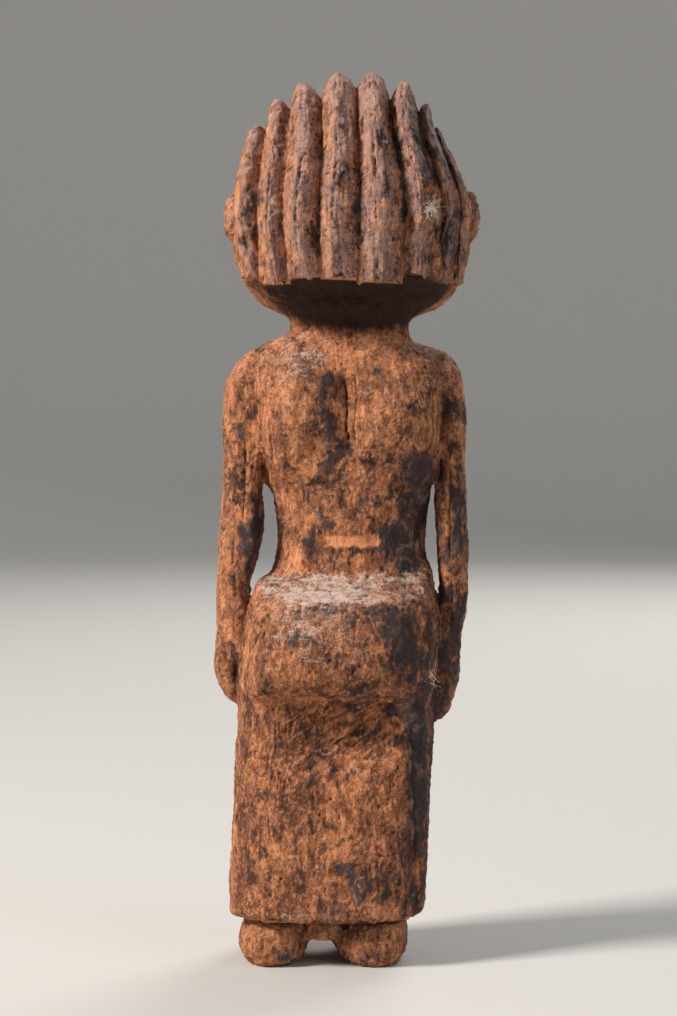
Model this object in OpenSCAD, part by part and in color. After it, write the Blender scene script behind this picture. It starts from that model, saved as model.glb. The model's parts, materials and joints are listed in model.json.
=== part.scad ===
// Carved wooden fertility doll: a standing figure with a helmet of ridged braids, arms held
// straight down the sides and a long wrapper above short block feet.
//
// Frame: +Z up, the soles rest on z = 0, -Y is the side that the face looks to, +X is the
// figure's own left. Each carved member is a closed solid that meets its neighbours face to face.

/* [Stance] */
// Sideways drift of the soles from the centre line of the chest
base_drift = 6.3; // [0:0.1:8]
// Height at which that drift has died out
drift_height = 125; // [121:1:149]

/* [Feet and wrapper] */
// Width of one foot
foot_w = 21; // [18:0.5:24]
// Length of a foot, heel to toe
foot_len = 46; // [40:1:52]
// Distance from the middle of one foot to the middle of the other
foot_spread = 31.3; // [28:0.1:34]
// Height of the hem above the ground
hem_z = 15.3; // [12:0.1:18]
// Width of the wrapper
wrapper_w = 60.6; // [56:0.2:61]
// How far the wrapper reaches behind the centre line
wrapper_back = 26; // [22:0.5:29]
// How far the wrapper reaches in front of the centre line
wrapper_front = 22; // [18:0.5:25]

/* [Hips and trunk] */
// Height of the underside of the hip shelf
hip_z = 84; // [80:1:88]
// Height where the waist leaves the top of the hip shelf
waist_z = 121; // [119:1:124]
// How far the hip shelf reaches behind the centre line
hip_back = 33.5; // [28:0.5:37]
// Width of the waist
waist_w = 47.5; // [42:0.5:52]
// Height of the underside of the shoulder block
chest_z = 150; // [146:1:154]
// Half the distance between the planes where the arms join the chest
arm_plane = 28.5; // [27:0.1:29]
// Half the distance between the planes where the hands lie on the hips
hand_plane = 30.6; // [30:0.1:31]
// How far the shoulder blades reach behind the centre line
blade_back = 20.5; // [17:0.5:23]
// Height where the neck starts
neck_z = 196.5; // [195:0.1:198]

/* [Arms] */
// Thickness of the left arm at the elbow, measured outward from the joining plane
arm_left_t = 10.6; // [8:0.1:11.5]
// Thickness of the right arm at the elbow
arm_right_t = 9; // [7.5:0.1:11.5]
// Depth of an arm from front to back
arm_depth = 18; // [15:0.5:21]
// Height of the wrists
wrist_z = 101; // [98:1:106]
// Height of the left finger tips
tip_left_z = 81.4; // [80:0.2:86]
// Height of the right finger tips
tip_right_z = 75.8; // [74:0.2:82]

/* [Head] */
// Height of the chin
chin_z = 203.3; // [202:0.1:205]
// Height of the lower ends of the braids
braid_end_z = 213; // [211:0.5:217]
// Height of the widest ring of the head, where the braids start to curve over
crown_z = 243; // [240:0.5:245]
// Radius of the crown's curve from front to back
crown_r = 37; // [35:0.5:38]
// Height of the hairline above the face
brow_z = 258; // [255:0.5:260]
// Depth of a groove between two braids in the middle of the head
groove = 5; // [3:0.25:6]
// Sideways offset of the head
head_drift = -1.6; // [-3:0.1:0]

/* [Hidden] */

bare_wood = [0.62, 0.36, 0.20];
dark_wood = [0.36, 0.24, 0.19];
dusty_wood = [0.55, 0.40, 0.33];

ring_points = 40;
turn_facets = 96;
face_plane = 14;
face_flat = 30;
chest_flat = 15.5;
belly_flat = 18.5;
nose_w = 8;
ear_t = 3;

// Widths of the eight braids from the left ear to the right ear
braid_widths = [7.5, 8, 11, 12, 14, 11.5, 6, 3];
head_w = 73;
hair_half = head_w / 2 + 2;
skull_inset = 9;

// Sideways place of the centre line at a height
function drift(z) = base_drift * max(0, 1 - z / drift_height);
function signed_power(v, p) = sign(v) * pow(abs(v), p);
function clamp(v, low, high) = min(max(v, low), high);

// A closed ring with rounded corners. left, right, back and front are its reaches from the
// centre line. side_flat and front_flat are the planes that it is flattened against.
function ring(z, left, right, back, front, corner = 2.7, side_flat = 99, front_flat = 99) = [
    for (i = [0 : ring_points - 1])
        let (a = 360 * (i + 0.5) / ring_points,
             x = (left - right) / 2 + (left + right) / 2 * signed_power(cos(a), 2 / corner),
             y = (back - front) / 2 + (back + front) / 2 * signed_power(sin(a), 2 / corner))
        [clamp(x, -side_flat, side_flat) + drift(z), max(y, -front_flat), z]
];

// Half a ring that stands on the plane y = plane and bulges towards the back (side = 1) or
// the front (side = -1)
function half_ring(z, half_w, reach, plane, side, flat = 99, corner = 2.4) = [
    for (i = [0 : ring_points / 2])
        let (a = side * 360 * i / ring_points,
             y = plane + (side * reach - plane) * pow(abs(sin(a)), 2 / corner))
        [head_drift + half_w * signed_power(cos(a), 2 / corner), max(y, -flat), z]
];

// Half a ring that stands on the upright plane of an arm and bulges outwards, away from the body
function arm_ring(z, inner, thick, half_depth, middle, side, corner = 2.5) = [
    for (i = [0 : ring_points / 2])
        let (a = -90 + 360 * i / ring_points)
        [side * inner + drift(z) + side * thick * pow(max(cos(a), 0), 2 / corner),
         middle + half_depth * signed_power(sin(a), 2 / corner), z]
];

// Closed solid through a stack of rings, lowest ring first. flip turns its faces over, for
// rings that run the other way round.
module stack(rings, flip = false) {
    n = len(rings[0]);
    m = len(rings);
    walls = [for (k = [0 : m - 2], i = [0 : n - 1])
        let (j = (i + 1) % n, a = k * n + i, b = k * n + j, c = a + n, d = b + n)
        each [[a, c, b], [b, c, d]]];
    bottom = [[for (i = [0 : n - 1]) i]];
    top = [[for (i = [n - 1 : -1 : 0]) (m - 1) * n + i]];
    turned = concat(walls, bottom, top);
    polyhedron([for (r = rings) each r],
               flip ? [for (f = turned) [for (i = [len(f) - 1 : -1 : 0]) f[i]]] : turned);
}

// A short block foot, rounded all round and a little narrower at the sole
module foot(side) {
    middle = side * foot_spread / 2;
    half_w = foot_w / 2;
    levels = [[0, 2.4, 3], [2.2, 0.8, 1], [6, 0, 0], [11, 0.4, 0.8], [hem_z, 1.4, 2.5]];
    color(bare_wood)
        stack([for (l = levels)
            let (reach = half_w - l[1])
            ring(l[0], middle + reach, reach - middle, 21 - l[2], foot_len - 21 - l[2], 2.8)]);
}

// The uncut block of wood between the feet, under the hem
module leg_bridge() {
    half_w = (foot_spread - foot_w) / 2;
    low = 7.5;
    color(dark_wood)
        translate([drift((low + hem_z) / 2) - half_w, -15, low])
            cube([2 * half_w, 31, hem_z - low]);
}

// The wrapper cloth carved as one plain block, hollowed slightly under the hip shelf
module wrapper() {
    half_w = wrapper_w / 2 + 1;
    color(bare_wood)
        stack([for (l = [[hem_z, 1.2, 1], [18, 0.1, 0], [50, 0.1, 0.6], [62, 0.3, 1.6],
                         [70, 0.4, 4], [hip_z, 1.1, 3]])
            ring(l[0], half_w - l[1], half_w - l[1], wrapper_back - l[2], wrapper_front,
                 3, hand_plane)]);
}

// The hips: a broad block whose rounded shelf stands out behind, with a sloping top
module hip_shelf() {
    half_w = hand_plane + 1;
    levels = [[hip_z, 1.1, 8.5], [87, 0, 3.5], [93, 0, 0.8], [100, 0, 0], [108, 0.4, 0.8],
              [112.5, 2.2, 2.5], [116, 4, 8], [waist_z, 5.5, 16]];
    color(dusty_wood)
        stack([for (l = levels)
            ring(l[0], half_w - l[1], half_w - l[1], hip_back - l[2], 22 - l[2] / 5,
                 2.7, hand_plane)]);
}

// The waist and the rounded belly, with a flat place for the navel
module abdomen() {
    half_w = waist_w / 2;
    levels = [[waist_z, 1.5, 16, 20], [128, 0.2, 14.5, 20.5], [134, 0, 14, 20.5],
              [142, 0.6, 15, 19.5], [chest_z, 1.5, 16.5, 17]];
    color(bare_wood)
        stack([for (l = levels)
            ring(l[0], half_w - 1.5 + l[1], half_w + 1.5 + l[1], l[2], l[3], 2.5, 99,
                 belly_flat)]);
}

// The navel, a small blunt peg
module navel() {
    color(bare_wood)
        translate([0, -belly_flat, 133])
            rotate([90, 0, 0])
                cylinder(h = 3.2, r1 = 3.6, r2 = 2, $fn = turn_facets);
}

// The shoulder block: broad shoulder blades behind and a flat chest in front
module chest() {
    levels = [[chest_z, -3, 16.5, 16], [153.5, 1.5, 19.5, 17], [160, 3, blade_back, 18],
              [170, 4, blade_back, 18], [182, 4, blade_back - 1.5, 17.5],
              [190, 3.2, 16.5, 15], [193.5, 0.1, 14.5, 13.5], [195.2, -4.5, 13.5, 12.8],
              [neck_z, -9, 13, 12.4]];
    color(bare_wood)
        stack([for (l = levels)
            ring(l[0], arm_plane + l[1], arm_plane + l[1], l[2], l[3], 2.7, arm_plane,
                 chest_flat)]);
}

// A small pointed breast, turned about its own axis
module breast(side) {
    color(bare_wood)
        translate([side * 12, -chest_flat, 171])
            rotate([90, 0, 0])
                rotate_extrude($fn = turn_facets)
                    polygon([[0, 0], [6.4, 0], [5.6, 3.5], [3.4, 7], [1.4, 8.6], [0, 9]]);
}

// An arm from the shoulder to the wrist. side is 1 on the figure's left and -1 on its right.
module arm(side, thick) {
    depth = arm_depth / 2;
    levels = [[wrist_z, hand_plane, 0.84, 0.84], [waist_z - 3, hand_plane, 0.92, 0.92],
              [drift_height, hand_plane - 0.8, 0.96, 0.94], [chest_z, arm_plane, 1, 1],
              [170, arm_plane, 1, 1.05], [183, arm_plane, 0.94, 1.1],
              [188, arm_plane, 0.74, 1.0], [191, arm_plane, 0.45, 0.86],
              [193, arm_plane, 0.12, 0.7]];
    color(bare_wood)
        stack([for (l = levels)
            arm_ring(l[0], l[1], thick * l[2], depth * l[3], 0, side)], side < 0);
}

// A hand held flat against the hip, carved as one mitten without fingers
module hand(side, thick, tip_z) {
    depth = arm_depth / 2;
    long = wrist_z - tip_z;
    levels = [[0, 0.3, 0.36], [0.1, 0.56, 0.6], [0.3, 0.74, 0.8], [0.65, 0.86, 0.9],
              [1, 0.84, 0.84]];
    color(bare_wood)
        stack([for (l = levels)
            arm_ring(tip_z + l[0] * long, hand_plane, thick * l[1], depth * l[2], 0, side)],
            side < 0);
}

// The thick neck, slightly waisted
module neck() {
    color(dark_wood)
        stack([for (l = [[neck_z, 19.5, 13, 12.4], [198.5, 18.4, 12.2, 11.8],
                         [201, 18.2, 12, 11.6], [chin_z, 19, 13, 12]])
            [for (p = ring(l[0], l[1], l[1], l[2], l[3], 2.3)) p + [head_drift / 2, 0, 0]]]);
}

// The underside of the head behind the face, between the neck and the lower ends of the braids
module jaw() {
    color(dark_wood)
        stack([for (l = [[chin_z, 19.5, 15], [205.2, 24, 19], [208.6, 29.5, 22.5],
                         [braid_end_z, 33, 25.5]])
            half_ring(l[0], l[1], l[2], -face_plane, 1)]);
}

// The face: a mask with a flat front for the features, set against the upright plane behind it
module face() {
    levels = [[chin_z, 11, 22], [206, 17, 27], [211, 23, 31], [220, 28, 32.5],
              [235, 30.5, 33], [248, 29.5, 32.5], [brow_z, 25.5, 30.5]];
    color(bare_wood)
        stack([for (l = levels)
            half_ring(l[0], l[1], l[2], -face_plane, -1, face_flat)], true);
}

// The nose: a straight narrow wedge on the flat of the face
module nose() {
    color(bare_wood)
        translate([head_drift - nose_w / 2, -face_flat, 0])
            rotate([90, 0, 90])
                linear_extrude(nose_w)
                    polygon([[0, 246], [-1.6, 244], [-5.6, 228], [-4.8, 225.5], [0, 224.5]]);
}

// Sideways place of the parting before braid i, from the left ear to the right ear
function parting(i) = i == 0 ? head_w / 2 : parting(i - 1) - braid_widths[i - 1];
// Radius of the head's outer curve at a sideways place
function crown(x) = crown_r * pow(1 - pow(abs(x) / hair_half, 2.4), 1 / 2.4);
function braid_middle(i) = (parting(i) + parting(i + 1)) / 2;
function skull_r(i) = crown(braid_middle(i)) - skull_inset;
function groove_r(i) = max(crown(parting(i)) - groove, max(skull_r(max(i - 1, 0)),
                                                          skull_r(min(i, 7))) + 0.8);

// Section of one braid: sideways place against distance from the turning axis. It has steep
// flanks and a blunt crest of three facets.
function braid_section(i) =
    let (l = parting(i), w = braid_widths[i], peak = crown(braid_middle(i)))
    [[skull_r(i), l], [groove_r(i), l], [peak - 1.6, l - 0.2 * w], [peak, l - 0.45 * w],
     [peak - 0.6, l - 0.68 * w], [peak - 2.2, l - 0.86 * w],
     [groove_r(i + 1), l - w], [skull_r(i), l - w]];

// A braid: bent over the crown from the hairline to the back, then straight down to its end
module braid(i) {
    color(i % 2 == 0 ? dusty_wood : dark_wood)
        translate([head_drift, 0, 0])
            difference() {
                union() {
                    translate([0, 0, crown_z])
                        rotate([0, 90, 0])
                            rotate([0, 0, 90])
                                rotate_extrude(angle = 180, $fn = turn_facets)
                                    polygon(braid_section(i));
                    translate([0, 0, braid_end_z])
                        linear_extrude(crown_z - braid_end_z)
                            polygon([for (p = braid_section(i)) [p[1], p[0]]]);
                }
                translate([-50, -60, crown_z - 20])
                    cube([100, 60, brow_z - crown_z + 20]);
            }
}

// The core of the head: under each braid a drum, with a block below it down to the jaw
module skull() {
    color(dark_wood)
        translate([head_drift, 0, 0])
            difference() {
                union() {
                    for (i = [0 : 7]) {
                        translate([parting(i + 1), 0, crown_z])
                            rotate([0, 90, 0])
                                cylinder(h = braid_widths[i], r = skull_r(i), $fn = turn_facets);
                        translate([parting(i + 1), -skull_r(i), braid_end_z])
                            cube([braid_widths[i], 2 * skull_r(i), crown_z - braid_end_z]);
                    }
                }
                translate([-50, -60 - face_plane, braid_end_z - 1])
                    cube([100, 60, brow_z - braid_end_z + 1]);
            }
}

// An ear: a flat lug with round ends on the side of the head
module ear(side) {
    r = 4.5;
    long = 6;
    color(bare_wood)
        translate([head_drift + side * head_w / 2 - (side < 0 ? ear_t : 0), 0, 234.5])
            rotate([90, 0, 90])
                linear_extrude(ear_t)
                    union() {
                        translate([0, -long / 2])
                            circle(r, $fn = turn_facets);
                        translate([0, long / 2])
                            circle(r, $fn = turn_facets);
                        translate([-r, -long / 2])
                            square([2 * r, long]);
                    }
}

foot(1);  // foot_left
foot(-1);  // foot_right
leg_bridge();
wrapper();
hip_shelf();
abdomen();
navel();
chest();
breast(1);  // breast_left
breast(-1);  // breast_right
arm(1, arm_left_t);  // arm_left
arm(-1, arm_right_t);  // arm_right
hand(1, arm_left_t, tip_left_z);  // hand_left
hand(-1, arm_right_t, tip_right_z);  // hand_right
neck();
jaw();
face();
nose();
skull();
ear(1);  // ear_left
ear(-1);  // ear_right
braid(0);  // braid_1
braid(1);  // braid_2
braid(2);  // braid_3
braid(3);  // braid_4
braid(4);  // braid_5
braid(5);  // braid_6
braid(6);  // braid_7
braid(7);  // braid_8
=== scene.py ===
"""Carved wooden fertility doll: the figure is roughed out, carved, weathered and sawn into its
members, the braids are bent over the crown, and everything gets a worn wood finish."""

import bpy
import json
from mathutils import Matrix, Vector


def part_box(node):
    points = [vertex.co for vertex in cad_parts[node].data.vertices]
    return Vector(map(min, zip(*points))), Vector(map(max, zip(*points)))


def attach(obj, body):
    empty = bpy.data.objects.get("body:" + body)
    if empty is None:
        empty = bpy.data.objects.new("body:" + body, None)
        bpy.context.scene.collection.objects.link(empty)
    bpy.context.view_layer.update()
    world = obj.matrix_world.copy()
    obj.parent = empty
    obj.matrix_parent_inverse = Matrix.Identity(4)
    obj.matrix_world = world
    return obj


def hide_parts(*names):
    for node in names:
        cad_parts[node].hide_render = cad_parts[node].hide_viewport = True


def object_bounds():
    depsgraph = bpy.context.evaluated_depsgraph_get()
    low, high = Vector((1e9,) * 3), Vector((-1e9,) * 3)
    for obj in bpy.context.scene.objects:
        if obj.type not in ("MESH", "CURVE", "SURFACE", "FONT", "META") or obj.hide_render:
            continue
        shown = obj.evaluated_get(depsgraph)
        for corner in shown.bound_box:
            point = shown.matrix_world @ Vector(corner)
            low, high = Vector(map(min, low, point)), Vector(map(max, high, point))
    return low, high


bl_info = {
    "name": "Carved Fertility Doll",
    "version": (1, 0, 0),
    "blender": (4, 5, 0),
    "location": "3D View > Sidebar > Carving",
    "description": "Carves and finishes a wooden doll around its packed frame",
    "category": "Object",
}

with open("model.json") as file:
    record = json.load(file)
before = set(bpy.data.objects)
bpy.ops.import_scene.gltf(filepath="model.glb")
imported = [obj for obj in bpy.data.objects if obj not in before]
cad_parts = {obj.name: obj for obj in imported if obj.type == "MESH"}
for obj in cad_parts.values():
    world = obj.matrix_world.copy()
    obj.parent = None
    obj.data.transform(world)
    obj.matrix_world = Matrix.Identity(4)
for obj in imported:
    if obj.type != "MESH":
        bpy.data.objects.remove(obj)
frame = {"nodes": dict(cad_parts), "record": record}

import itertools
import json
import math

import bmesh
import bpy
import numpy as np
from bpy.props import FloatProperty, FloatVectorProperty, PointerProperty
from mathutils import Matrix, Vector

cad_low, cad_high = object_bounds()

MM = 0.001
BODY = "root"
BRAIDS = 8
BOX = {name: [np.array(corner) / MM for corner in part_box(name)] for name in frame["nodes"]}
SLOTS = {part["node"]: part["material_slot"] for part in frame["record"]["subparts"]}
BLANK_MEMBERS = [name for name in sorted(BOX) if not name.startswith(("braid", "ear"))]
LOW, HIGH = 0, 1

# Levels and planes of the figure, in millimetres, all taken from the frame
HEM_Z = BOX["wrapper"][LOW][2]
HIP_Z = BOX["hip_shelf"][LOW][2]
WAIST_Z = BOX["abdomen"][LOW][2]
CHEST_Z = BOX["chest"][LOW][2]
NECK_Z = BOX["neck"][LOW][2]
CHIN_Z = BOX["face"][LOW][2]
JAW_TOP_Z = BOX["jaw"][HIGH][2]
WRIST_Z = BOX["arm_left"][LOW][2]
FACE_Y = BOX["face"][HIGH][1]
FACE_FRONT_Y = BOX["face"][LOW][1]
CHEST_FRONT_Y = BOX["chest"][LOW][1]
BELLY_FRONT_Y = BOX["abdomen"][LOW][1]
HEAD_X = (BOX["skull"][LOW][0] + BOX["skull"][HIGH][0]) / 2
SOLE_X = (BOX["foot_left"][HIGH][0] + BOX["foot_right"][LOW][0]) / 2
CROWN_R = max(BOX[f"braid_{i}"][HIGH][1] for i in range(1, BRAIDS + 1))
CROWN_Z = BOX["braid_4"][HIGH][2] - BOX["braid_4"][HIGH][1]
BRAID_END_Z = BOX["braid_4"][LOW][2]


# Rounds of smoothing: on the rough block, on the carved skin, and for the three sizes of
# surroundings that hollows are measured against
BLOCK_ROUNDS, SKIN_ROUNDS = 7, 3
TIGHT_ROUNDS, WIDE_ROUNDS, FORM_ROUNDS = 3, 14, 90


# ---------------------------------------------------------------- noise

def hashed(cell, seed):
    """Three repeatable numbers from -1 to 1 for each whole-numbered cell."""
    c = cell.astype(np.int64).view(np.uint64)
    h = c[:, 0] * np.uint64(73856093) ^ c[:, 1] * np.uint64(19349663)
    h = h ^ c[:, 2] * np.uint64(83492791) ^ np.uint64(seed * 26544357 + 977)
    rows = []
    for _ in range(3):
        h = (h ^ (h >> np.uint64(15))) * np.uint64(0x2C1B3C6D)
        h = (h ^ (h >> np.uint64(12))) * np.uint64(0x297A2D39)
        h = h ^ (h >> np.uint64(15))
        rows.append((h & np.uint64(0xFFFFFF)).astype(float) / 0x7FFFFF - 1)
    return np.stack(rows, 1)


def bumps(points, size, seed=0, octaves=1, rough=0.5):
    """Soft noise, about -1 to 1, whose bumps are `size` long along each axis."""
    total = np.zeros(len(points))
    gain = 1.6
    for octave in range(octaves):
        q = points / np.asarray(size, float) * 2 ** octave + 11.7 * octave
        cell = np.floor(q)
        f = q - cell
        w = f * f * f * (f * (f * 6 - 15) + 10)
        for corner in itertools.product((0, 1), repeat=3):
            lean = hashed(cell + corner, seed + octave)
            share = np.prod(np.where(corner, w, 1 - w), axis=1)
            total += gain * share * np.einsum("ij,ij->i", lean, f - corner)
        gain *= rough
    return total


def chips(points, size, seed=0):
    """Distance to the nearest and second nearest of scattered seeds, and the nearest's number."""
    q = points / np.asarray(size, float)
    cell = np.floor(q)
    near = np.full(len(q), 9.0)
    second = np.full(len(q), 9.0)
    number = np.zeros(len(q))
    for step in itertools.product((-1, 0, 1), repeat=3):
        where = cell + step
        jitter = hashed(where, seed)
        away = np.linalg.norm(where + 0.5 + 0.42 * jitter - q, axis=1)
        closer = away < near
        second = np.where(closer, near, np.minimum(second, away))
        number = np.where(closer, jitter[:, 0], number)
        near = np.where(closer, away, near)
    return near, second, number


def ease(value, low, high):
    """0 below low, 1 above high, with a smooth step between."""
    t = np.clip((value - low) / (high - low), 0, 1)
    return t * t * (3 - 2 * t)


def spot(points, centre, radii):
    """1 at the centre, fading to 0 over about the radii."""
    away = (points - np.asarray(centre, float)) / np.asarray(radii, float)
    return np.exp(-np.einsum("ij,ij->i", away, away))


def place(node, across, deep, up):
    """A point at fractions of a member's box: across to its left, deep to the back, up."""
    low, high = BOX[node]
    return low + (high - low) * np.array([across, deep, up])


# ---------------------------------------------------------------- mesh helpers

def fetched(items, key, width=1, kind=float):
    """One value, or one row of `width` values, from each of a mesh's items."""
    flat = np.empty(len(items) * width, kind)
    items.foreach_get(key, flat)
    return flat.reshape(-1, width) if width > 1 else flat


def points_of(mesh):
    return fetched(mesh.vertices, "co", 3) / MM


def set_points(mesh, points):
    mesh.vertices.foreach_set("co", (points * MM).ravel())
    mesh.update()


def normals_of(mesh):
    return fetched(mesh.vertex_normals, "vector", 3)


def edges_of(mesh):
    return fetched(mesh.edges, "vertices", 2, np.int64)


def made_mesh(bm, name):
    """Turn a finished bmesh into a mesh and let go of it."""
    mesh = bpy.data.meshes.new(name)
    bm.to_mesh(mesh)
    bm.free()
    return mesh


def in_scene(name, data):
    """Put a mesh, light or camera into the scene."""
    thing = bpy.data.objects.new(name, data)
    bpy.context.scene.collection.objects.link(thing)
    return thing


def eased(values, edges, rounds, share=0.5):
    """Values at the vertices, drawn towards the mean of their neighbours."""
    values = values.copy()
    a, b = edges[:, 0], edges[:, 1]
    count = np.maximum(np.bincount(edges.ravel(), minlength=len(values)), 1)
    for _ in range(rounds):
        for k in range(values.shape[1]):
            column = values[:, k]
            around = np.bincount(a, column[b], len(column))
            around = around + np.bincount(b, column[a], len(column))
            values[:, k] = column + share * (around / count - column)
    return values


def store(mesh, name, values):
    """Keep one number or one vector per vertex, mostly for the finishes to read."""
    values = np.asarray(values, np.float32)
    kind, key = ("FLOAT", "value") if values.ndim == 1 else ("FLOAT_VECTOR", "vector")
    layer = mesh.attributes.new(name, kind, "POINT")
    layer.data.foreach_set(key, values.ravel())


def grown_along(mesh, places):
    """Keep for the finishes where each point lies in the wood, with the grain along Z."""
    store(mesh, "grain", places * MM)


def remeshed(mesh, grid):
    """A new closed skin around a mesh, on an even grid."""
    holder = in_scene("remesh_holder", mesh)
    skin = holder.modifiers.new("Skin", "REMESH")
    skin.mode = "VOXEL"
    skin.voxel_size = grid * MM
    skin.adaptivity = 0
    depsgraph = bpy.context.evaluated_depsgraph_get()
    made = bpy.data.meshes.new_from_object(holder.evaluated_get(depsgraph))
    bpy.data.objects.remove(holder)
    bpy.data.meshes.remove(mesh)
    return made


def finish_piece(name, mesh, nodes, material):
    """Put a finished mesh in the scene as a piece of the object."""
    piece = in_scene(name, mesh)
    mesh.materials.clear()
    mesh.materials.append(material)
    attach(piece, BODY)
    if nodes:
        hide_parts(*nodes)
    return piece


# ---------------------------------------------------------------- carving the figure

# Soft shaping cuts and swellings: member, place in its box, radii and push in millimetres
SHAPING = [
    ("chest", (0.77, 1.0, 0.58), (10, 12, 13), (0, 3.4, 0)),
    ("chest", (0.22, 1.0, 0.50), (10, 12, 15), (0, 2.6, 0)),
    ("chest", (0.50, 1.0, 0.55), (3.6, 12, 18), (0, -3.2, 0)),
    ("chest", (0.66, 1.0, 0.24), (4.5, 12, 4.5), (0, -1.8, 0)),
    ("chest", (0.36, 1.0, 0.16), (5, 12, 4), (0, -1.6, 0)),
    ("chest", (0.58, 1.0, 0.14), (9, 12, 6), (0, -1.2, 0)),
    ("chest", (0.86, 1.0, 0.05), (9, 12, 5), (0, -3.2, 1)),
    ("chest", (0.14, 1.0, 0.10), (8, 12, 6), (0, -3.0, 0)),
    ("chest", (0.952, 1.0, 0.08), (2.6, 16, 5.5), (0, -9, 0)),
    ("chest", (-0.015, 1.0, 0.10), (2.4, 16, 6), (0, -8, 0)),
    ("chest", (0.84, 0.8, 1.00), (9, 14, 5), (0, 0, 0.8)),
    ("chest", (0.10, 0.8, 0.98), (6, 14, 5), (0, 0, -4.2)),
    ("abdomen", (0.50, 1.0, 0.60), (10, 10, 12), (0, 1.0, 0)),
    ("abdomen", (0.04, 0.8, 0.50), (5, 14, 13), (1.6, -1.2, 0)),
    ("abdomen", (0.95, 0.8, 0.40), (5, 14, 12), (-1.0, -0.6, 0)),
    ("abdomen", (0.50, 0.0, 0.45), (15, 10, 12), (0, -1.2, 0)),
    ("hip_shelf", (0.50, 1.0, 0.80), (36, 10, 6), (0, -0.3, 3.0)),
    ("hip_shelf", (0.45, 1.05, 1.02), (40, 5, 4), (0, -1.6, -1.4)),
    ("hip_shelf", (0.93, 0.6, 0.96), (6, 14, 5), (2.2, 0, 0.6)),
    ("hip_shelf", (0.06, 0.6, 0.96), (6, 14, 5), (-1.0, 0, 3.0)),
    ("hip_shelf", (0.26, 1.0, 0.52), (10, 9, 10), (0, 0.8, 0)),
    ("hip_shelf", (0.62, 1.0, 0.30), (16, 9, 8), (0, 0.9, 0)),
    ("hip_shelf", (0.92, 1.0, 0.66), (5, 12, 10), (0, -2.4, 0)),
    ("hip_shelf", (0.06, 1.0, 0.45), (5, 12, 16), (0, -2.0, 0)),
    ("wrapper", (0.46, 1.0, 0.86), (16, 10, 10), (0, -4.4, 0)),
    ("wrapper", (0.88, 1.0, 0.92), (6, 12, 12), (0, 4.0, 0)),
    ("wrapper", (0.12, 1.0, 0.92), (5, 12, 12), (0, 3.6, 0)),
    ("wrapper", (0.46, 1.0, 0.62), (18, 10, 6), (0, 1.2, 0)),
    ("wrapper", (0.03, 1.0, 0.40), (5, 10, 36), (0.8, -1.5, 0)),
    ("foot_left", (1.0, 0.8, 0.42), (5, 14, 6), (1.6, 0, 0)),
    ("foot_right", (1.0, 0.8, 0.40), (5, 14, 6), (2.4, 0, 0)),
    ("foot_left", (0.5, 1.0, 0.95), (14, 7, 1.6), (0, -2.2, 0)),
    ("foot_right", (0.5, 1.0, 0.95), (14, 7, 1.6), (0, -2.2, 0)),
    ("jaw", (0.50, 1.0, 0.55), (27, 14, 6), (0, -9.0, 1.5)),
    ("face", (1.0, 0.95, 0.45), (4, 6, 22), (2.4, 0, 0)),
    ("face", (0.0, 0.95, 0.45), (4, 6, 22), (-2.4, 0, 0)),
    ("arm_left", (0.90, 0.6, 0.99), (5, 12, 6), (-1.2, 0, -0.8)),
    ("arm_left", (0.00, 0.3, 0.40), (3.4, 9, 13), (-2.6, 0, 0)),
    ("arm_left", (1.00, 0.5, 0.35), (4, 10, 20), (0.5, 0, 0)),
    ("arm_right", (0.00, 0.5, 0.90), (4, 10, 5), (0.6, 0, 0.6)),
    ("hand_left", (0.90, 0.5, 0.10), (5, 9, 7), (-1.6, 0, 0)),
    ("hand_right", (0.20, 0.5, 0.05), (4, 9, 6), (0.8, 0, -0.6)),
    ("breast_left", (0.5, 0.3, 0.40), (7, 9, 7), (0, -3.4, -0.8)),
    ("breast_right", (0.5, 0.3, 0.40), (7, 9, 7), (0, -3.4, -0.8)),
]

# Grooves where one form meets another: member, +1 for the back or -1 for the front, width and
# depth of the cut in millimetres, then the line's two ends in its box as (across, up)
GROOVES = [
    ("hip_shelf", 1, 1.5, 3.4, [(0.97, 0.93), (0.965, 0.0)]),
    ("hip_shelf", 1, 1.5, 3.0, [(0.02, 0.93), (0.025, 0.0)]),
    ("hand_left", 1, 1.3, 2.6, [(0.22, 0.75), (0.20, 0.0)]),
    ("chest", 1, 1.7, 3.0, [(0.985, 0.62), (0.955, 0.0)]),
    ("chest", 1, 1.5, 2.8, [(-0.035, 0.66), (-0.02, 0.05)]),
    ("chest", -1, 1.6, 2.4, [(0.985, 0.70), (0.97, 0.0)]),
    ("chest", -1, 1.6, 2.4, [(0.015, 0.70), (0.03, 0.0)]),
]

# Upright corners of the back cut to flat facets: member, lowest and highest level, how far the
# facet starts past the member's back, then its inset and slope on the left and on the right
CHAMFERS = [
    ("hip_shelf", HIP_Z - 8, WAIST_Z - 3, -1.6, (3.6, 1.7), (3.0, 1.7)),
    ("wrapper", HEM_Z - 1, HIP_Z + 2, 0.3, (7.5, 0.9), (9.5, 1.15)),
]

# How far the hips and the cloth stand to the figure's left of the trunk, in millimetres
HIP_SHIFT = 1.2

# Half width of the head at heights above the chin, in millimetres
HEAD_HEIGHTS = [0, 2, 5.5, 8.5, 14.5, 19, 26]
HEAD_HALVES = [20, 25, 30.5, 33, 35, 36.4, 37.5]

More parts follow.
